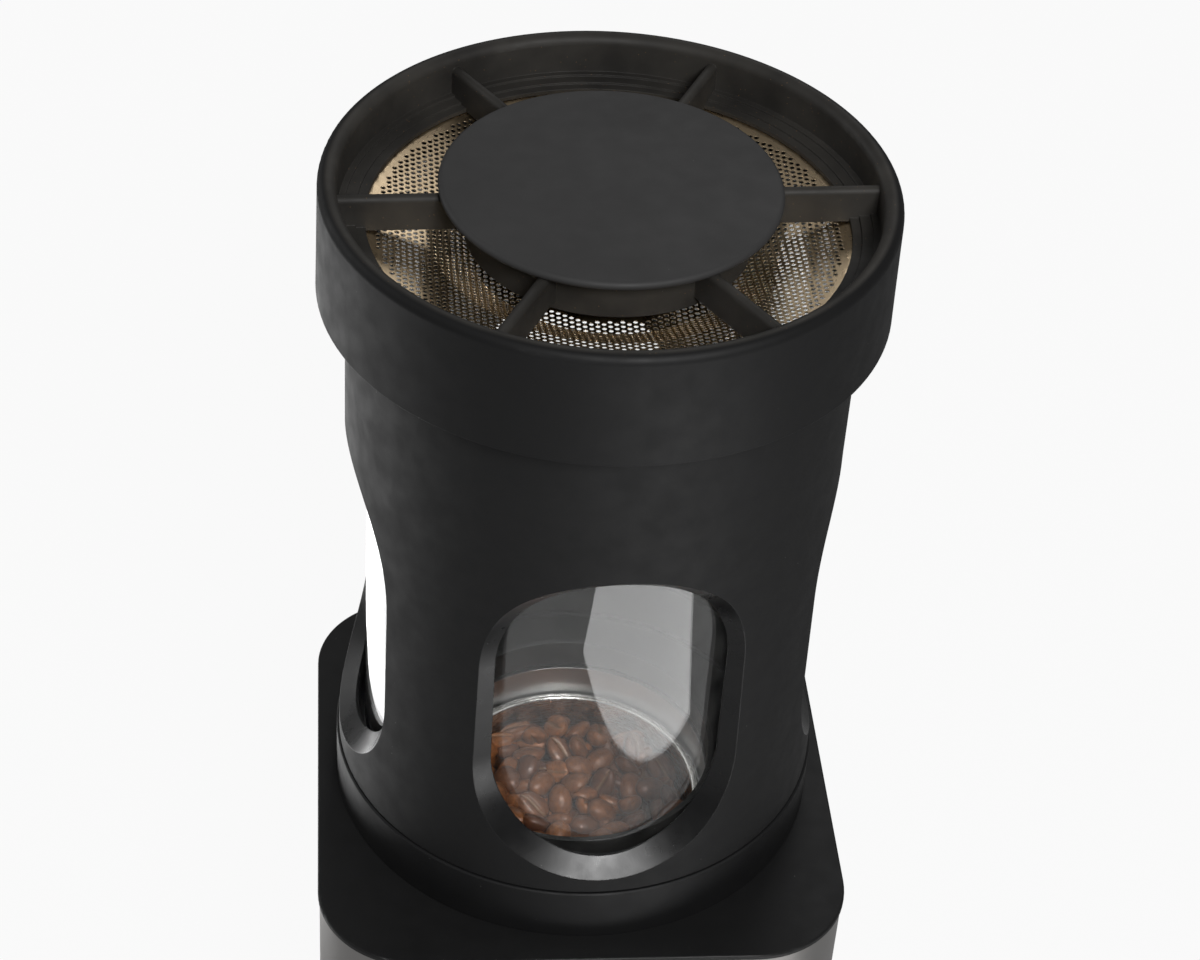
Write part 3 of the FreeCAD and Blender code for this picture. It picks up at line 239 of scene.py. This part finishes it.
def product(tree, first, second):
    """Product of two numbers, held between 0 and 1."""
    return math_node(tree, "MULTIPLY", first, second)


def less(tree, value, mask, amount):
    """Value lowered by an amount where the mask is 1."""
    return math_node(tree, "SUBTRACT", value, product(tree, mask, amount))


def vector_math(tree, operation, first, second=None):
    """Result of one operation on vectors, which is a vector or a number."""
    inputs = {0: first} if second is None else {0: first, 1: second}
    made = add(tree, "VectorMath", inputs, operation=operation)
    return made.outputs["Value" if operation in ("DOT_PRODUCT", "LENGTH") else "Vector"]


def bump(tree, height, depth, strength=1.0, normal=None):
    """Normal of a surface that is raised by a height times a depth."""
    inputs = {"Height": height, "Strength": strength, "Distance": depth}
    if normal is not None:
        inputs["Normal"] = normal
    return add(tree, "Bump", inputs).outputs["Normal"]


def soft_edges(tree, radius):
    """Normal rounded at the edges, and a mask that is 1 on them."""
    rounded = add(tree, "Bevel", {"Radius": radius}, samples=EDGE_SAMPLES).outputs["Normal"]
    plain = add(tree, "NewGeometry").outputs["Normal"]
    alike = vector_math(tree, "DOT_PRODUCT", rounded, plain)
    return rounded, fall(tree, alike, EDGE_FULL, EDGE_NONE)


def specks(tree, spacing, size, share):
    """Mask of scattered dust specks: a share of the cells hold one each."""
    coordinates = add(tree, "TexCoord").outputs["Object"]
    cells = add(tree, "TexVoronoi", {"Vector": coordinates, "Scale": 1.0 / spacing})
    near = fall(tree, cells.outputs["Distance"], SPECK_CORE * size / spacing, size / spacing)
    chance = add(tree, "SeparateColor", {"Color": cells.outputs["Color"]}).outputs["Red"]
    return product(tree, near, fall(tree, chance, share, share + SPECK_BLEND))


def from_axis(tree):
    """Level vector from the roaster's axis to the surface."""
    place = add(tree, "TexCoord").outputs["Object"]
    apart = vector_math(tree, "ADD", place, (0.0, -AXIS_Y, 0.0))
    return vector_math(tree, "MULTIPLY", apart, (1.0, 1.0, 0.0))


def bevel_mask(tree):
    """Mask that is 1 on faces that look partly outward, as the windows' bevels do."""
    spoke = vector_math(tree, "NORMALIZE", from_axis(tree))
    normal = add(tree, "NewGeometry").outputs["True Normal"]
    facing = vector_math(tree, "DOT_PRODUCT", spoke, normal)
    past_level = rise(tree, facing, start=0.2, end=0.3)
    short_of_wall = fall(tree, facing, start=0.80, end=0.90)
    return product(tree, past_level, short_of_wall)


def ray_mask(tree, first, second):
    """Mask that is 1 for rays of two kinds."""
    path = add(tree, "LightPath").outputs
    return math_node(tree, "MAXIMUM", path["Is " + first + " Ray"], path["Is " + second + " Ray"])


# Materials

def coffee_film(tree, colour, film_r):
    """The colour under a film of brown coffee dust with grains in it, inside a radius."""
    distance = vector_math(tree, "LENGTH", from_axis(tree))
    inside = fall(tree, distance, film_r - FILM_FADE, film_r)
    thick = span(tree, noise(tree, scale=70.0, detail=4.0), FILM_THIN, FILM_THICK)
    film = mix_colour(tree, product(tree, inside, thick), colour, FILM_COLOUR)
    grains = product(tree, inside, specks(tree, spacing=1.4 * MM, size=0.13 * MM, share=0.45))
    return mix_colour(tree, grains, film, FILM_GRAIN_COLOUR)


def moulded(name, colour, roughness, shine, dust=0.5, film_r=None, bevels=False):
    """Matt moulded plastic: fine spark texture, uneven sheen, polished edges with a painted highlight
    along them, and a little dust.

    Inside film_r it carries a film of coffee dust, and its bevels may be smoother than its walls.
    """
    material, tree, shader = new_material(name)
    rounded, edges = soft_edges(tree, MOULDED_EDGE_R)
    cloud = noise(tree, scale=45.0, detail=3.0)
    lighter = scaled(colour, 1.15)
    # Edges are lightened towards a brighter copy of the colour: a painted highlight along them
    edge_highlight_colour = scaled(colour, 2.2)
    base = mix_colour(tree, rise(tree, cloud), colour, lighter)
    edge_highlighted = mix_colour(tree, product(tree, edges, EDGE_HIGHLIGHT_SHARE), base, edge_highlight_colour)
    motes = product(tree, specks(tree, spacing=5.0 * MM, size=0.16 * MM, share=0.3), dust)
    skin = mix_colour(tree, motes, edge_highlighted, DUST_COLOUR)
    if film_r:
        skin = coffee_film(tree, skin, film_r)
    sheen = noise(tree, scale=160.0, detail=4.0)
    uneven = span(tree, sheen, roughness - SHEEN_SPREAD, roughness + SHEEN_SPREAD)
    rough = less(tree, uneven, edges, EDGE_SMOOTHER)
    if bevels:
        rough = less(tree, rough, bevel_mask(tree), BEVEL_SMOOTHER)
    set_inputs(tree, shader, {
        "Base Color": skin,
        "Roughness": rough,
        "Normal": bump(tree, noise(tree, scale=2200.0), MOULDED_GRAIN, strength=0.6, normal=rounded),
        "Specular IOR Level": shine})
    return material


def brushed(name, colour, roughness, stretch=(1.0, 1.0, 30.0)):
    """Metal with fine lines across the stretched axis."""
    material, tree, shader = new_material(name)
    rounded, edges = soft_edges(tree, BRUSHED_EDGE_R)
    lines = noise(tree, scale=260.0, detail=3.0, stretch=stretch)
    line_colour = scaled(colour, 0.88)
    stain_colour = scaled(colour, 0.8)
    base = mix_colour(tree, rise(tree, lines), line_colour, colour)
    stain = span(tree, noise(tree, scale=30.0), low=0.0, high=0.35)
    uneven = span(tree, lines, roughness - 0.06, roughness + 0.08)
    set_inputs(tree, shader, {
        "Base Color": mix_colour(tree, stain, base, stain_colour),
        "Metallic": 1.0,
        "Roughness": less(tree, uneven, edges, amount=0.08),
        "Normal": bump(tree, lines, BRUSHED_GRAIN, strength=0.5, normal=rounded)})
    return material


def rubbery(name, colour, roughness):
    """Soft rubber: matt, a little cloudy and finely pitted."""
    material, tree, shader = new_material(name)
    cloud = rise(tree, noise(tree, scale=90.0, detail=3.0))
    set_inputs(tree, shader, {
        "Base Color": mix_colour(tree, cloud, colour, scaled(colour, 1.4)),
        "Roughness": span(tree, noise(tree, scale=300.0), roughness - 0.06, roughness + 0.06),
        "Normal": bump(tree, noise(tree, scale=900.0), depth=0.02 * MM, strength=0.5)})
    return material


def clear(name, tint, film):
    """Clear glass that lets lamps through, with a thin film of dust on it."""
    material, tree, glass = new_material(name)
    set_inputs(tree, glass, {
        "Base Color": tint + (1.0,),
        "Transmission Weight": 1.0,
        "IOR": GLASS_IOR,
        "Roughness": span(tree, noise(tree, scale=60.0, detail=3.0), low=0.0, high=0.03)})
    dust = add(tree, "BsdfPrincipled", {"Base Color": GLASS_DUST, "Roughness": 0.9})
    cover = product(tree, specks(tree, spacing=4.0 * MM, size=0.14 * MM, share=0.5), 0.6)
    haze = span(tree, noise(tree, scale=120.0, detail=4.0), low=0.0, high=film)
    veil = math_node(tree, "ADD", cover, haze)
    dusted = add(tree, "MixShader", {0: veil, 1: glass.outputs[0], 2: dust.outputs[0]})
    lamps = add(tree, "BsdfTransparent", {"Color": GLASS_SHADOW})
    through = ray_mask(tree, "Shadow", "Diffuse")
    set_surface(tree, add(tree, "MixShader", {0: through, 1: dusted.outputs[0], 2: lamps.outputs[0]}))
    return material


def bean_skin(name):
    """Roasted bean: mottled brown, oily, with paler skin left in its crease."""
    material, tree, shader = new_material(name)
    tone = add(tree, "Attribute", attribute_name="tone").outputs["Fac"]
    crease = add(tree, "Attribute", attribute_name="crease").outputs["Fac"]
    body = mix_colour(tree, tone, BEAN_DARK, BEAN_LIGHT)
    mottle = span(tree, noise(tree, scale=700.0, detail=4.0), low=0.0, high=0.55)
    mottled = mix_colour(tree, mottle, body, BEAN_MOTTLE)
    wrinkles = noise(tree, scale=1500.0, detail=4.0)
    set_inputs(tree, shader, {
        "Base Color": mix_colour(tree, crease, mottled, BEAN_CREASE),
        "Roughness": span(tree, noise(tree, scale=500.0), low=0.30, high=0.52),
        "Normal": bump(tree, wrinkles, depth=0.10 * MM, strength=0.7)})
    return material


def board(name):
    """Circuit board: green mask with a faint pattern of tracks."""
    material, tree, shader = new_material(name)
    coordinates = add(tree, "TexCoord").outputs["Object"]
    turned = add(tree, "Mapping", {"Vector": coordinates, "Rotation": (math.pi / 2, 0.0, 0.0)})
    tracks = add(tree, "TexBrick", {
        "Vector": turned.outputs["Vector"], "Scale": 160.0, "Mortar Size": 0.03,
        "Color1": (0.01, 0.10, 0.04, 1.0), "Color2": (0.012, 0.13, 0.05, 1.0),
        "Mortar": (0.03, 0.22, 0.09, 1.0)})
    set_inputs(tree, shader, {
        "Base Color": tracks.outputs["Color"],
        "Roughness": span(tree, noise(tree, scale=200.0), low=0.25, high=0.4)})
    return material


def fibre(name, colour):
    """Felted ceramic fibre or split mica: pale, mottled and rough."""
    material, tree, shader = new_material(name)
    flakes = noise(tree, scale=350.0, detail=5.0)
    set_inputs(tree, shader, {
        "Base Color": mix_colour(tree, rise(tree, flakes), colour, scaled(colour, 0.7)),
        "Roughness": span(tree, flakes, low=0.7, high=0.95),
        "Normal": bump(tree, flakes, depth=0.2 * MM)})
    return material


def slot_materials():
    """One material for each slot of the record, and for two nodes with a finish of their own.

    The numbers after a colour are its roughness and, on plastic, its shine.
    """
    round_lines = (1.0, 1.0, 24.0)
    return {
        "matte_black": moulded("matte_black", (0.0065, 0.0065, 0.0069), 0.58, 0.36),
        "cap_ring": moulded("cap_ring_black", (0.0060, 0.0060, 0.0063), 0.58, 0.34, film_r=FILM_CAP_R),
        "collector_sleeve": moulded("sleeve_black", (0.0054, 0.0054, 0.0057), 0.66, 0.40, bevels=True),
        "disc_black": moulded("disc_black", (0.0450, 0.0446, 0.0448), 0.60, 0.36),
        "deck_black": moulded("deck_black", (0.0100, 0.0100, 0.0103), 0.46, 0.40),
        "inner_black": moulded("inner_black", (0.0080, 0.0080, 0.0083), 0.45, 0.40, dust=0.3),
        "button_black": moulded("button_black", (0.0220, 0.0220, 0.0225), 0.38, 0.45, dust=0.2),
        "fan_plastic": moulded("fan_plastic", (0.045, 0.045, 0.050), 0.45, 0.45),
        "display_dark": moulded("display_dark", (0.012, 0.015, 0.018), 0.15, 0.5, dust=0.0),
        "display_glass": moulded("display_glass", (0.004, 0.004, 0.005), 0.08, 0.5, dust=0.15),
        "screen_steel": brushed("screen_steel", (0.82, 0.64, 0.42), 0.30),
        "brushed_case": brushed("brushed_case", (0.42, 0.41, 0.40), 0.34),
        "cup_steel": brushed("cup_steel", (0.74, 0.72, 0.69), 0.24, round_lines),
        "plain_steel": brushed("plain_steel", (0.55, 0.55, 0.54), 0.28),
        "well_metal": brushed("well_metal", (0.60, 0.60, 0.60), 0.35, round_lines),
        "heater_wire": brushed("heater_wire", (0.32, 0.27, 0.23), 0.45),
        "motor_metal": brushed("motor_metal", (0.33, 0.34, 0.36), 0.40, round_lines),
        "copper": brushed("copper", (0.72, 0.50, 0.24), 0.25),
        "silicone": rubbery("silicone", (0.030, 0.030, 0.032), 0.55),
        "foot_rubber": rubbery("foot_rubber", (0.016, 0.016, 0.016), 0.75),
        "lead_sheath": rubbery("lead_sheath", (0.040, 0.040, 0.042), 0.5),
        "clear_glass": clear("clear_glass", (0.97, 0.98, 0.98), film=0.02),
        "bean_brown": bean_skin("bean_brown"),
        "board_green": board("board_green"),
        "insulation": fibre("insulation", (0.72, 0.70, 0.64)),
        "mica": fibre("mica", (0.52, 0.45, 0.32)),
    }


def dress_nodes(materials):
    """Each CAD node gets a material of its own or that of its slot."""
    for part in frame["record"]["subparts"]:
        mesh = NODES[part["node"]].data
        mesh.materials.clear()
        mesh.materials.append(materials.get(part["node"], materials[part["material_slot"]]))


def new_piece(name, mesh, material, body, slot, *replaced):
    """Piece that rides on a body and stands for CAD nodes."""
    piece = new_object(name, mesh)
    mesh.materials.append(material)
    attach(piece, body)
    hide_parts(*replaced)
    return piece


# Perforated screen

def screen_top(radius, rim_z, floor_z):
    """Height of the dished sheet's upper face at a distance from the axis."""
    crease_z = rim_z - SCREEN_CREASE_DROP
    if radius >= SCREEN_WINDOW_R:
        return rim_z
    if radius >= SCREEN_CREASE_R:
        inward = SCREEN_WINDOW_R - radius
        return rim_z - SCREEN_CREASE_DROP * inward / (SCREEN_WINDOW_R - SCREEN_CREASE_R)
    if radius >= SCREEN_FLOOR_R:
        inward = SCREEN_CREASE_R - radius
        return crease_z - (crease_z - floor_z) * inward / (SCREEN_CREASE_R - SCREEN_FLOOR_R)
    return floor_z


def cell_places(outer_r):
    """Middles of the hexagonal cells that cover the sheet, in rows along y."""
    rows = int(outer_r / (SCREEN_PITCH * ROW_SHARE)) + 2
    for row in range(-rows, rows + 1):
        for column in range(-rows, rows + 1):
            x = row * SCREEN_PITCH * ROW_SHARE
            y = (column + 0.5 * (row % 2)) * SCREEN_PITCH
            if SCREEN_BORE_R <= math.hypot(x, y) <= outer_r + CELL_OVER_RIM:
                yield x, y


def polygon(x, y, radius, sides):
    """Corners of a regular polygon round a point, the first of them along x."""
    turns = [2 * math.pi / sides * k for k in range(sides)]
    return [(x + radius * math.cos(t), y + radius * math.sin(t)) for t in turns]


def perforated_screen(material):
    """Dished sheet of hexagonal cells, each pierced by a round hole, with a plain rim and middle."""
    low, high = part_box("screen")
    outer_r = (high.x - low.x) / 2
    floor_z = low.z + SCREEN_CAD_SHEET
    holes_end_r = SCREEN_WINDOW_R - SCREEN_MARGIN - SCREEN_HOLE_R
    mesh = bmesh.new()
    corners = {}

    def vertex(x, y):
        """Vertex on the dish, held between the sheet's bore and its rim."""
        radius = math.hypot(x, y)
        held = min(max(radius, SCREEN_BORE_R), outer_r)
        x, y = (x * held / radius, y * held / radius) if radius > 0 else (held, 0.0)
        return mesh.verts.new((x, AXIS_Y + y, screen_top(held, high.z, floor_z)))

    def corner(x, y):
        """Vertex that a cell shares with its neighbours."""
        key = (round(x / SAME_CORNER), round(y / SAME_CORNER))
        if key not in corners:
            corners[key] = vertex(x, y)
        return corners[key]

    for x, y in cell_places(outer_r):
        cell = [corner(*point) for point in polygon(x, y, CELL_REACH, CELL_SIDES)]
        if not SCREEN_PLAIN_R < math.hypot(x, y) < holes_end_r:
            mesh.faces.new(cell)
            continue
        hole = [vertex(*point) for point in polygon(x, y, SCREEN_HOLE_R, 2 * CELL_SIDES)]
        for k in range(CELL_SIDES):
            edge = [cell[k], cell[(k + 1) % CELL_SIDES]]
            mesh.faces.new(edge + [hole[(2 * k + 2) % len(hole)], hole[2 * k + 1], hole[2 * k]])
    made = bpy.data.meshes.new("screen_mesh")
    mesh.normal_update()
    mesh.to_mesh(made)
    mesh.free()
    piece = new_piece("perforated_screen", made, material, "cap", "screen_steel", "screen")
    sheet = piece.modifiers.new("sheet", "SOLIDIFY")
    sheet.thickness = SCREEN_SHEET
    sheet.offset = -1.0


# Beans

def bean_points():
    """Rings of points along a bean and its two tips, each point with its share in the crease.

    The crease is at the bean's underside, where the angle round it is zero.
    """
    half = BEAN_LENGTH / 2
    groove = [math.radians(a) for a in CREASE_DEGREES]
    around = [(angle, math.exp(-(angle / CREASE_SPREAD) ** 2)) for angle in groove]
    around += [(math.radians(a), 0.0) for a in OTHER_DEGREES]
    rings = []
    for k in range(1, BEAN_RINGS):
        along = -math.cos(math.pi * k / BEAN_RINGS)
        girth = math.sqrt(1 - along ** 2) ** BEAN_BLUNTNESS
        ring = []
        for angle, share in around:
            rise_share = -math.cos(angle)
            depth = BEAN_FACE if rise_share < 0 else BEAN_BACK
            y = math.sin(angle) * girth * BEAN_WIDTH / 2 * (1 - BEAN_TAPER * along)
            y += CREASE_SWAY * math.sin(CREASE_BEND * along) * max(0.0, -rise_share)
            z = rise_share * girth * depth + share * CREASE_DEPTH * girth
            ring.append((Vector((along * half, y, z)), share))
        rings.append(ring)
    tips = [(Vector((-half, 0, 0)), 0.0), (Vector((half, 0, 0)), 0.0)]
    return rings, tips


def resting(x, y, floor_z, placed):
    """Height at which a bean rests on those already placed, and how it leans there."""
    height = floor_z
    lean = Vector((0, 0, 0))
    for under_x, under_y, under_z, _ in placed:
        gap = math.hypot(x - under_x, y - under_y)
        if gap < BEAN_SPACING:
            rest = under_z + BEAN_THICKNESS * math.sqrt(1 - (gap / BEAN_SPACING) ** 2)
            if rest > height:
                height = rest
                lean = Vector((x - under_x, y - under_y, 0)) / BEAN_SPACING
    return height, lean


def bean_places(reach, floor_z, chooser):
    """Places and leans of beans dropped one by one, each at the lowest of a few random spots."""
    placed = []
    while len(placed) < BEAN_COUNT:
        spots = []
        while len(spots) < BEAN_TRIES:
            radius = (reach - BEAN_WIDTH / 2) * math.sqrt(chooser.random())
            angle = chooser.uniform(0, 2 * math.pi)
            x, y = radius * math.cos(angle), radius * math.sin(angle)
            spots.append((x, y) + resting(x, y, floor_z, placed))
        placed.append(min(spots, key=lambda spot: spot[2]))
    return placed


def bean_stance(place, lean, chooser):
    """Matrix of a bean at its place: leaning on its neighbours, either face up, and a little askew."""
    size = chooser.uniform(*BEAN_SIZES)
    flip = math.pi if chooser.random() < BEAN_FLIPPED_SHARE else 0.0
    turn = Matrix.Rotation(chooser.uniform(0, 2 * math.pi), 4, "Z")
    never_zero = 0.001
    tilt_axis = Vector((-lean.y, lean.x, never_zero)).normalized()
    tilt = Matrix.Rotation(min(lean.length, BEAN_LEAN), 4, tilt_axis)
    nod = Matrix.Rotation(chooser.uniform(-BEAN_NOD, BEAN_NOD), 4, "Y")
    roll = Matrix.Rotation(flip + chooser.uniform(-BEAN_ROLL, BEAN_ROLL), 4, "X")
    return place @ tilt @ turn @ nod @ roll @ Matrix.Scale(size, 4)


def close_bean(mesh, rings, ends):
    """Faces between a bean's rings of vertices, and from the outer rings to its tips."""
    around = len(rings[0])
    for first, second in zip(rings, rings[1:]):
        for k in range(around):
            n = (k + 1) % around
            mesh.faces.new((first[k], first[n], second[n], second[k]))
    for k in range(around):
        n = (k + 1) % around
        mesh.faces.new((ends[0], rings[0][n], rings[0][k]))
        mesh.faces.new((ends[1], rings[-1][k], rings[-1][n]))


def bean_heap(material):
    """Loose beans over a filler bed in the darkest bean tone, which paints shade into the gaps between
    them, filling the cup to the CAD heap's height.
    """
    chooser = random.Random(BEAN_SEED)
    low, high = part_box("bean_bed")
    reach = (high.x - low.x) / 2
    floor_z = high.z - BEAN_LAYER_DEPTH
    rings, tips = bean_points()
    mesh = bmesh.new()
    tone = mesh.verts.layers.float.new("tone")
    crease = mesh.verts.layers.float.new("crease")

    def put(entry, whole, shade):
        """Vertex of a bean, with its colour's tone and its share in the crease."""
        point, share = entry
        made = mesh.verts.new(whole @ point)
        made[tone] = shade
        made[crease] = CREASE_PALENESS * share
        return made

    for x, y, z, lean in bean_places(reach, floor_z, chooser):
        shade = chooser.random()
        place = Matrix.Translation((x, AXIS_Y + y, min(z, high.z - BEAN_BACK)))
        whole = bean_stance(place, lean, chooser)
        made_rings = [[put(entry, whole, shade) for entry in ring] for ring in rings]
        close_bean(mesh, made_rings, [put(tip, whole, shade) for tip in tips])
    middle = Matrix.Translation((0, AXIS_Y, (floor_z + low.z) / 2))
    bed = bmesh.ops.create_cone(mesh, cap_ends=True, segments=BED_SIDES, radius1=reach, radius2=reach,
                                depth=floor_z - low.z, matrix=middle)
    # The filler bed takes the darkest bean tone: painted shade in the gaps between the loose beans
    for vertex in bed["verts"]:
        vertex[tone] = 0.0
    bmesh.ops.recalc_face_normals(mesh, faces=mesh.faces)
    for face in mesh.faces:
        face.smooth = True
    made = bpy.data.meshes.new("bean_heap_mesh")
    mesh.to_mesh(made)
    mesh.free()
    new_piece("bean_heap", made, material, "cup", "bean_brown", "bean_bed")


# Stage

def white_for_sight(tree, lit):
    """Mix of a lit shader with plain white, for rays that look at the background."""
    seen = ray_mask(tree, "Camera", "Transmission")
    glanced = product(tree, add(tree, "LightPath").outputs["Is Glossy Ray"], GLOSSY_WHITE)
    share = product(tree, math_node(tree, "MAXIMUM", seen, glanced), FLOOR_WHITE)
    white = add(tree, "Emission", {"Color": WHITE, "Strength": 1.0})
    return add(tree, "MixShader", {0: share, 1: lit, 2: white.outputs[0]})


def make_floor():
    """Wide pale floor that keeps the object's shadow."""
    half = FLOOR_HALF
    corners = [(-half, -half, 0), (half, -half, 0), (half, half, 0), (-half, half, 0)]
    mesh = bpy.data.meshes.new("floor_mesh")
    mesh.from_pydata(corners, [], [(0, 1, 2, 3)])
    floor = new_object("floor", mesh)
    material, tree, shader = new_material("floor_white")
    set_inputs(tree, shader, {"Base Color": FLOOR_COLOUR, "Roughness": 0.8})
    set_surface(tree, white_for_sight(tree, shader.outputs[0]))
    mesh.materials.append(material)


def make_world():
    """Dim surroundings that look white to the camera and through glass."""
    world = bpy.data.worlds.new("studio")
    bpy.context.scene.world = world
    world.use_nodes = True
    tree = world.node_tree
    dim = tree.nodes["Background"]
    set_inputs(tree, dim, {"Color": WHITE, "Strength": WORLD_LEVEL})
    bright = add(tree, "Background", {"Color": WHITE, "Strength": 1.0})
    seen = ray_mask(tree, "Camera", "Transmission")
    shown = add(tree, "MixShader", {0: seen, 1: dim.outputs[0], 2: bright.outputs[0]})
    set_surface(tree, shown, "World Output")


def lamp(name, place, rotation, width, height, radiance):
    """Flat lamp of a given brightness that the camera itself doesn't see."""
    light = bpy.data.lights.new(name, "AREA")
    light.shape = "RECTANGLE"
    light.size = width
    light.size_y = height
    light.energy = radiance * math.pi * width * height
    holder = new_object(name, light)
    holder.location = place
    holder.rotation_euler = rotation
    holder.visible_camera = False


def softbox(name, place, width, height, radiance):
    """Lamp that faces the middle of the object."""
    towards = SOFTBOX_AIM - Vector(place)
    lamp(name, place, towards.to_track_quat("-Z", "Y").to_euler(), width, height, radiance)


def table_card(name, clock, near, start, end, depth, radiance):
    """White card that lies on the table, its near edge square to a direction from the axis."""
    outward = Vector((math.sin(clock), -math.cos(clock), 0.0))
    along = Vector((math.cos(clock), math.sin(clock), 0.0))
    centre = Vector((0.0, AXIS_Y, CARD_HEIGHT)) + outward * (near + depth / 2) + along * (start + end) / 2
    lamp(name, centre, (math.pi, 0.0, clock), end - start, depth, radiance)


def make_lights():
    """A high lamp in front, weaker ones at the left and behind, and two white cards on the table."""
    softbox("lamp_front", (0.20, -0.97, 1.14), 0.40, 0.34, radiance=23.0)
    softbox("lamp_left", (-1.2, 0.75, 0.75), 0.50, 0.90, radiance=2.0)
    softbox("lamp_back", (0.42, 1.40, 1.25), 0.70, 0.50, radiance=1.4)
    table_card("card_left", math.radians(-130), near=0.20, start=-0.25, end=0.25, depth=0.40, radiance=2.2)
    table_card("card_front", math.radians(31), near=0.278, start=-0.20, end=0.10, depth=0.30, radiance=2.8)


def make_camera():
    """Camera at the photograph's place, turned by its azimuth, elevation and roll."""
    azimuth, elevation, roll = CAMERA_AZIMUTH, CAMERA_ELEVATION, CAMERA_ROLL
    level = math.cos(elevation)
    back = Vector((math.sin(azimuth) * level, -math.cos(azimuth) * level, math.sin(elevation)))
    right = Vector((math.cos(azimuth), math.sin(azimuth), 0.0))
    up = back.cross(right)
    across = math.cos(roll) * right + math.sin(roll) * up
    upward = math.cos(roll) * up - math.sin(roll) * right
    turn = Matrix((across, upward, back)).transposed()
    lens = bpy.data.cameras.new("camera")
    lens.lens = CAMERA_LENS
    lens.sensor_width = CAMERA_SENSOR
    camera = new_object("camera", lens)
    camera.matrix_world = Matrix.Translation(CAMERA_PLACE) @ turn.to_4x4()
    bpy.context.scene.camera = camera


materials = slot_materials()
dress_nodes(materials)
perforated_screen(materials["screen_steel"])
bean_heap(materials["bean_brown"])
make_floor()
make_world()
make_lights()
make_camera()
bpy.context.scene.view_settings.view_transform = "Standard"
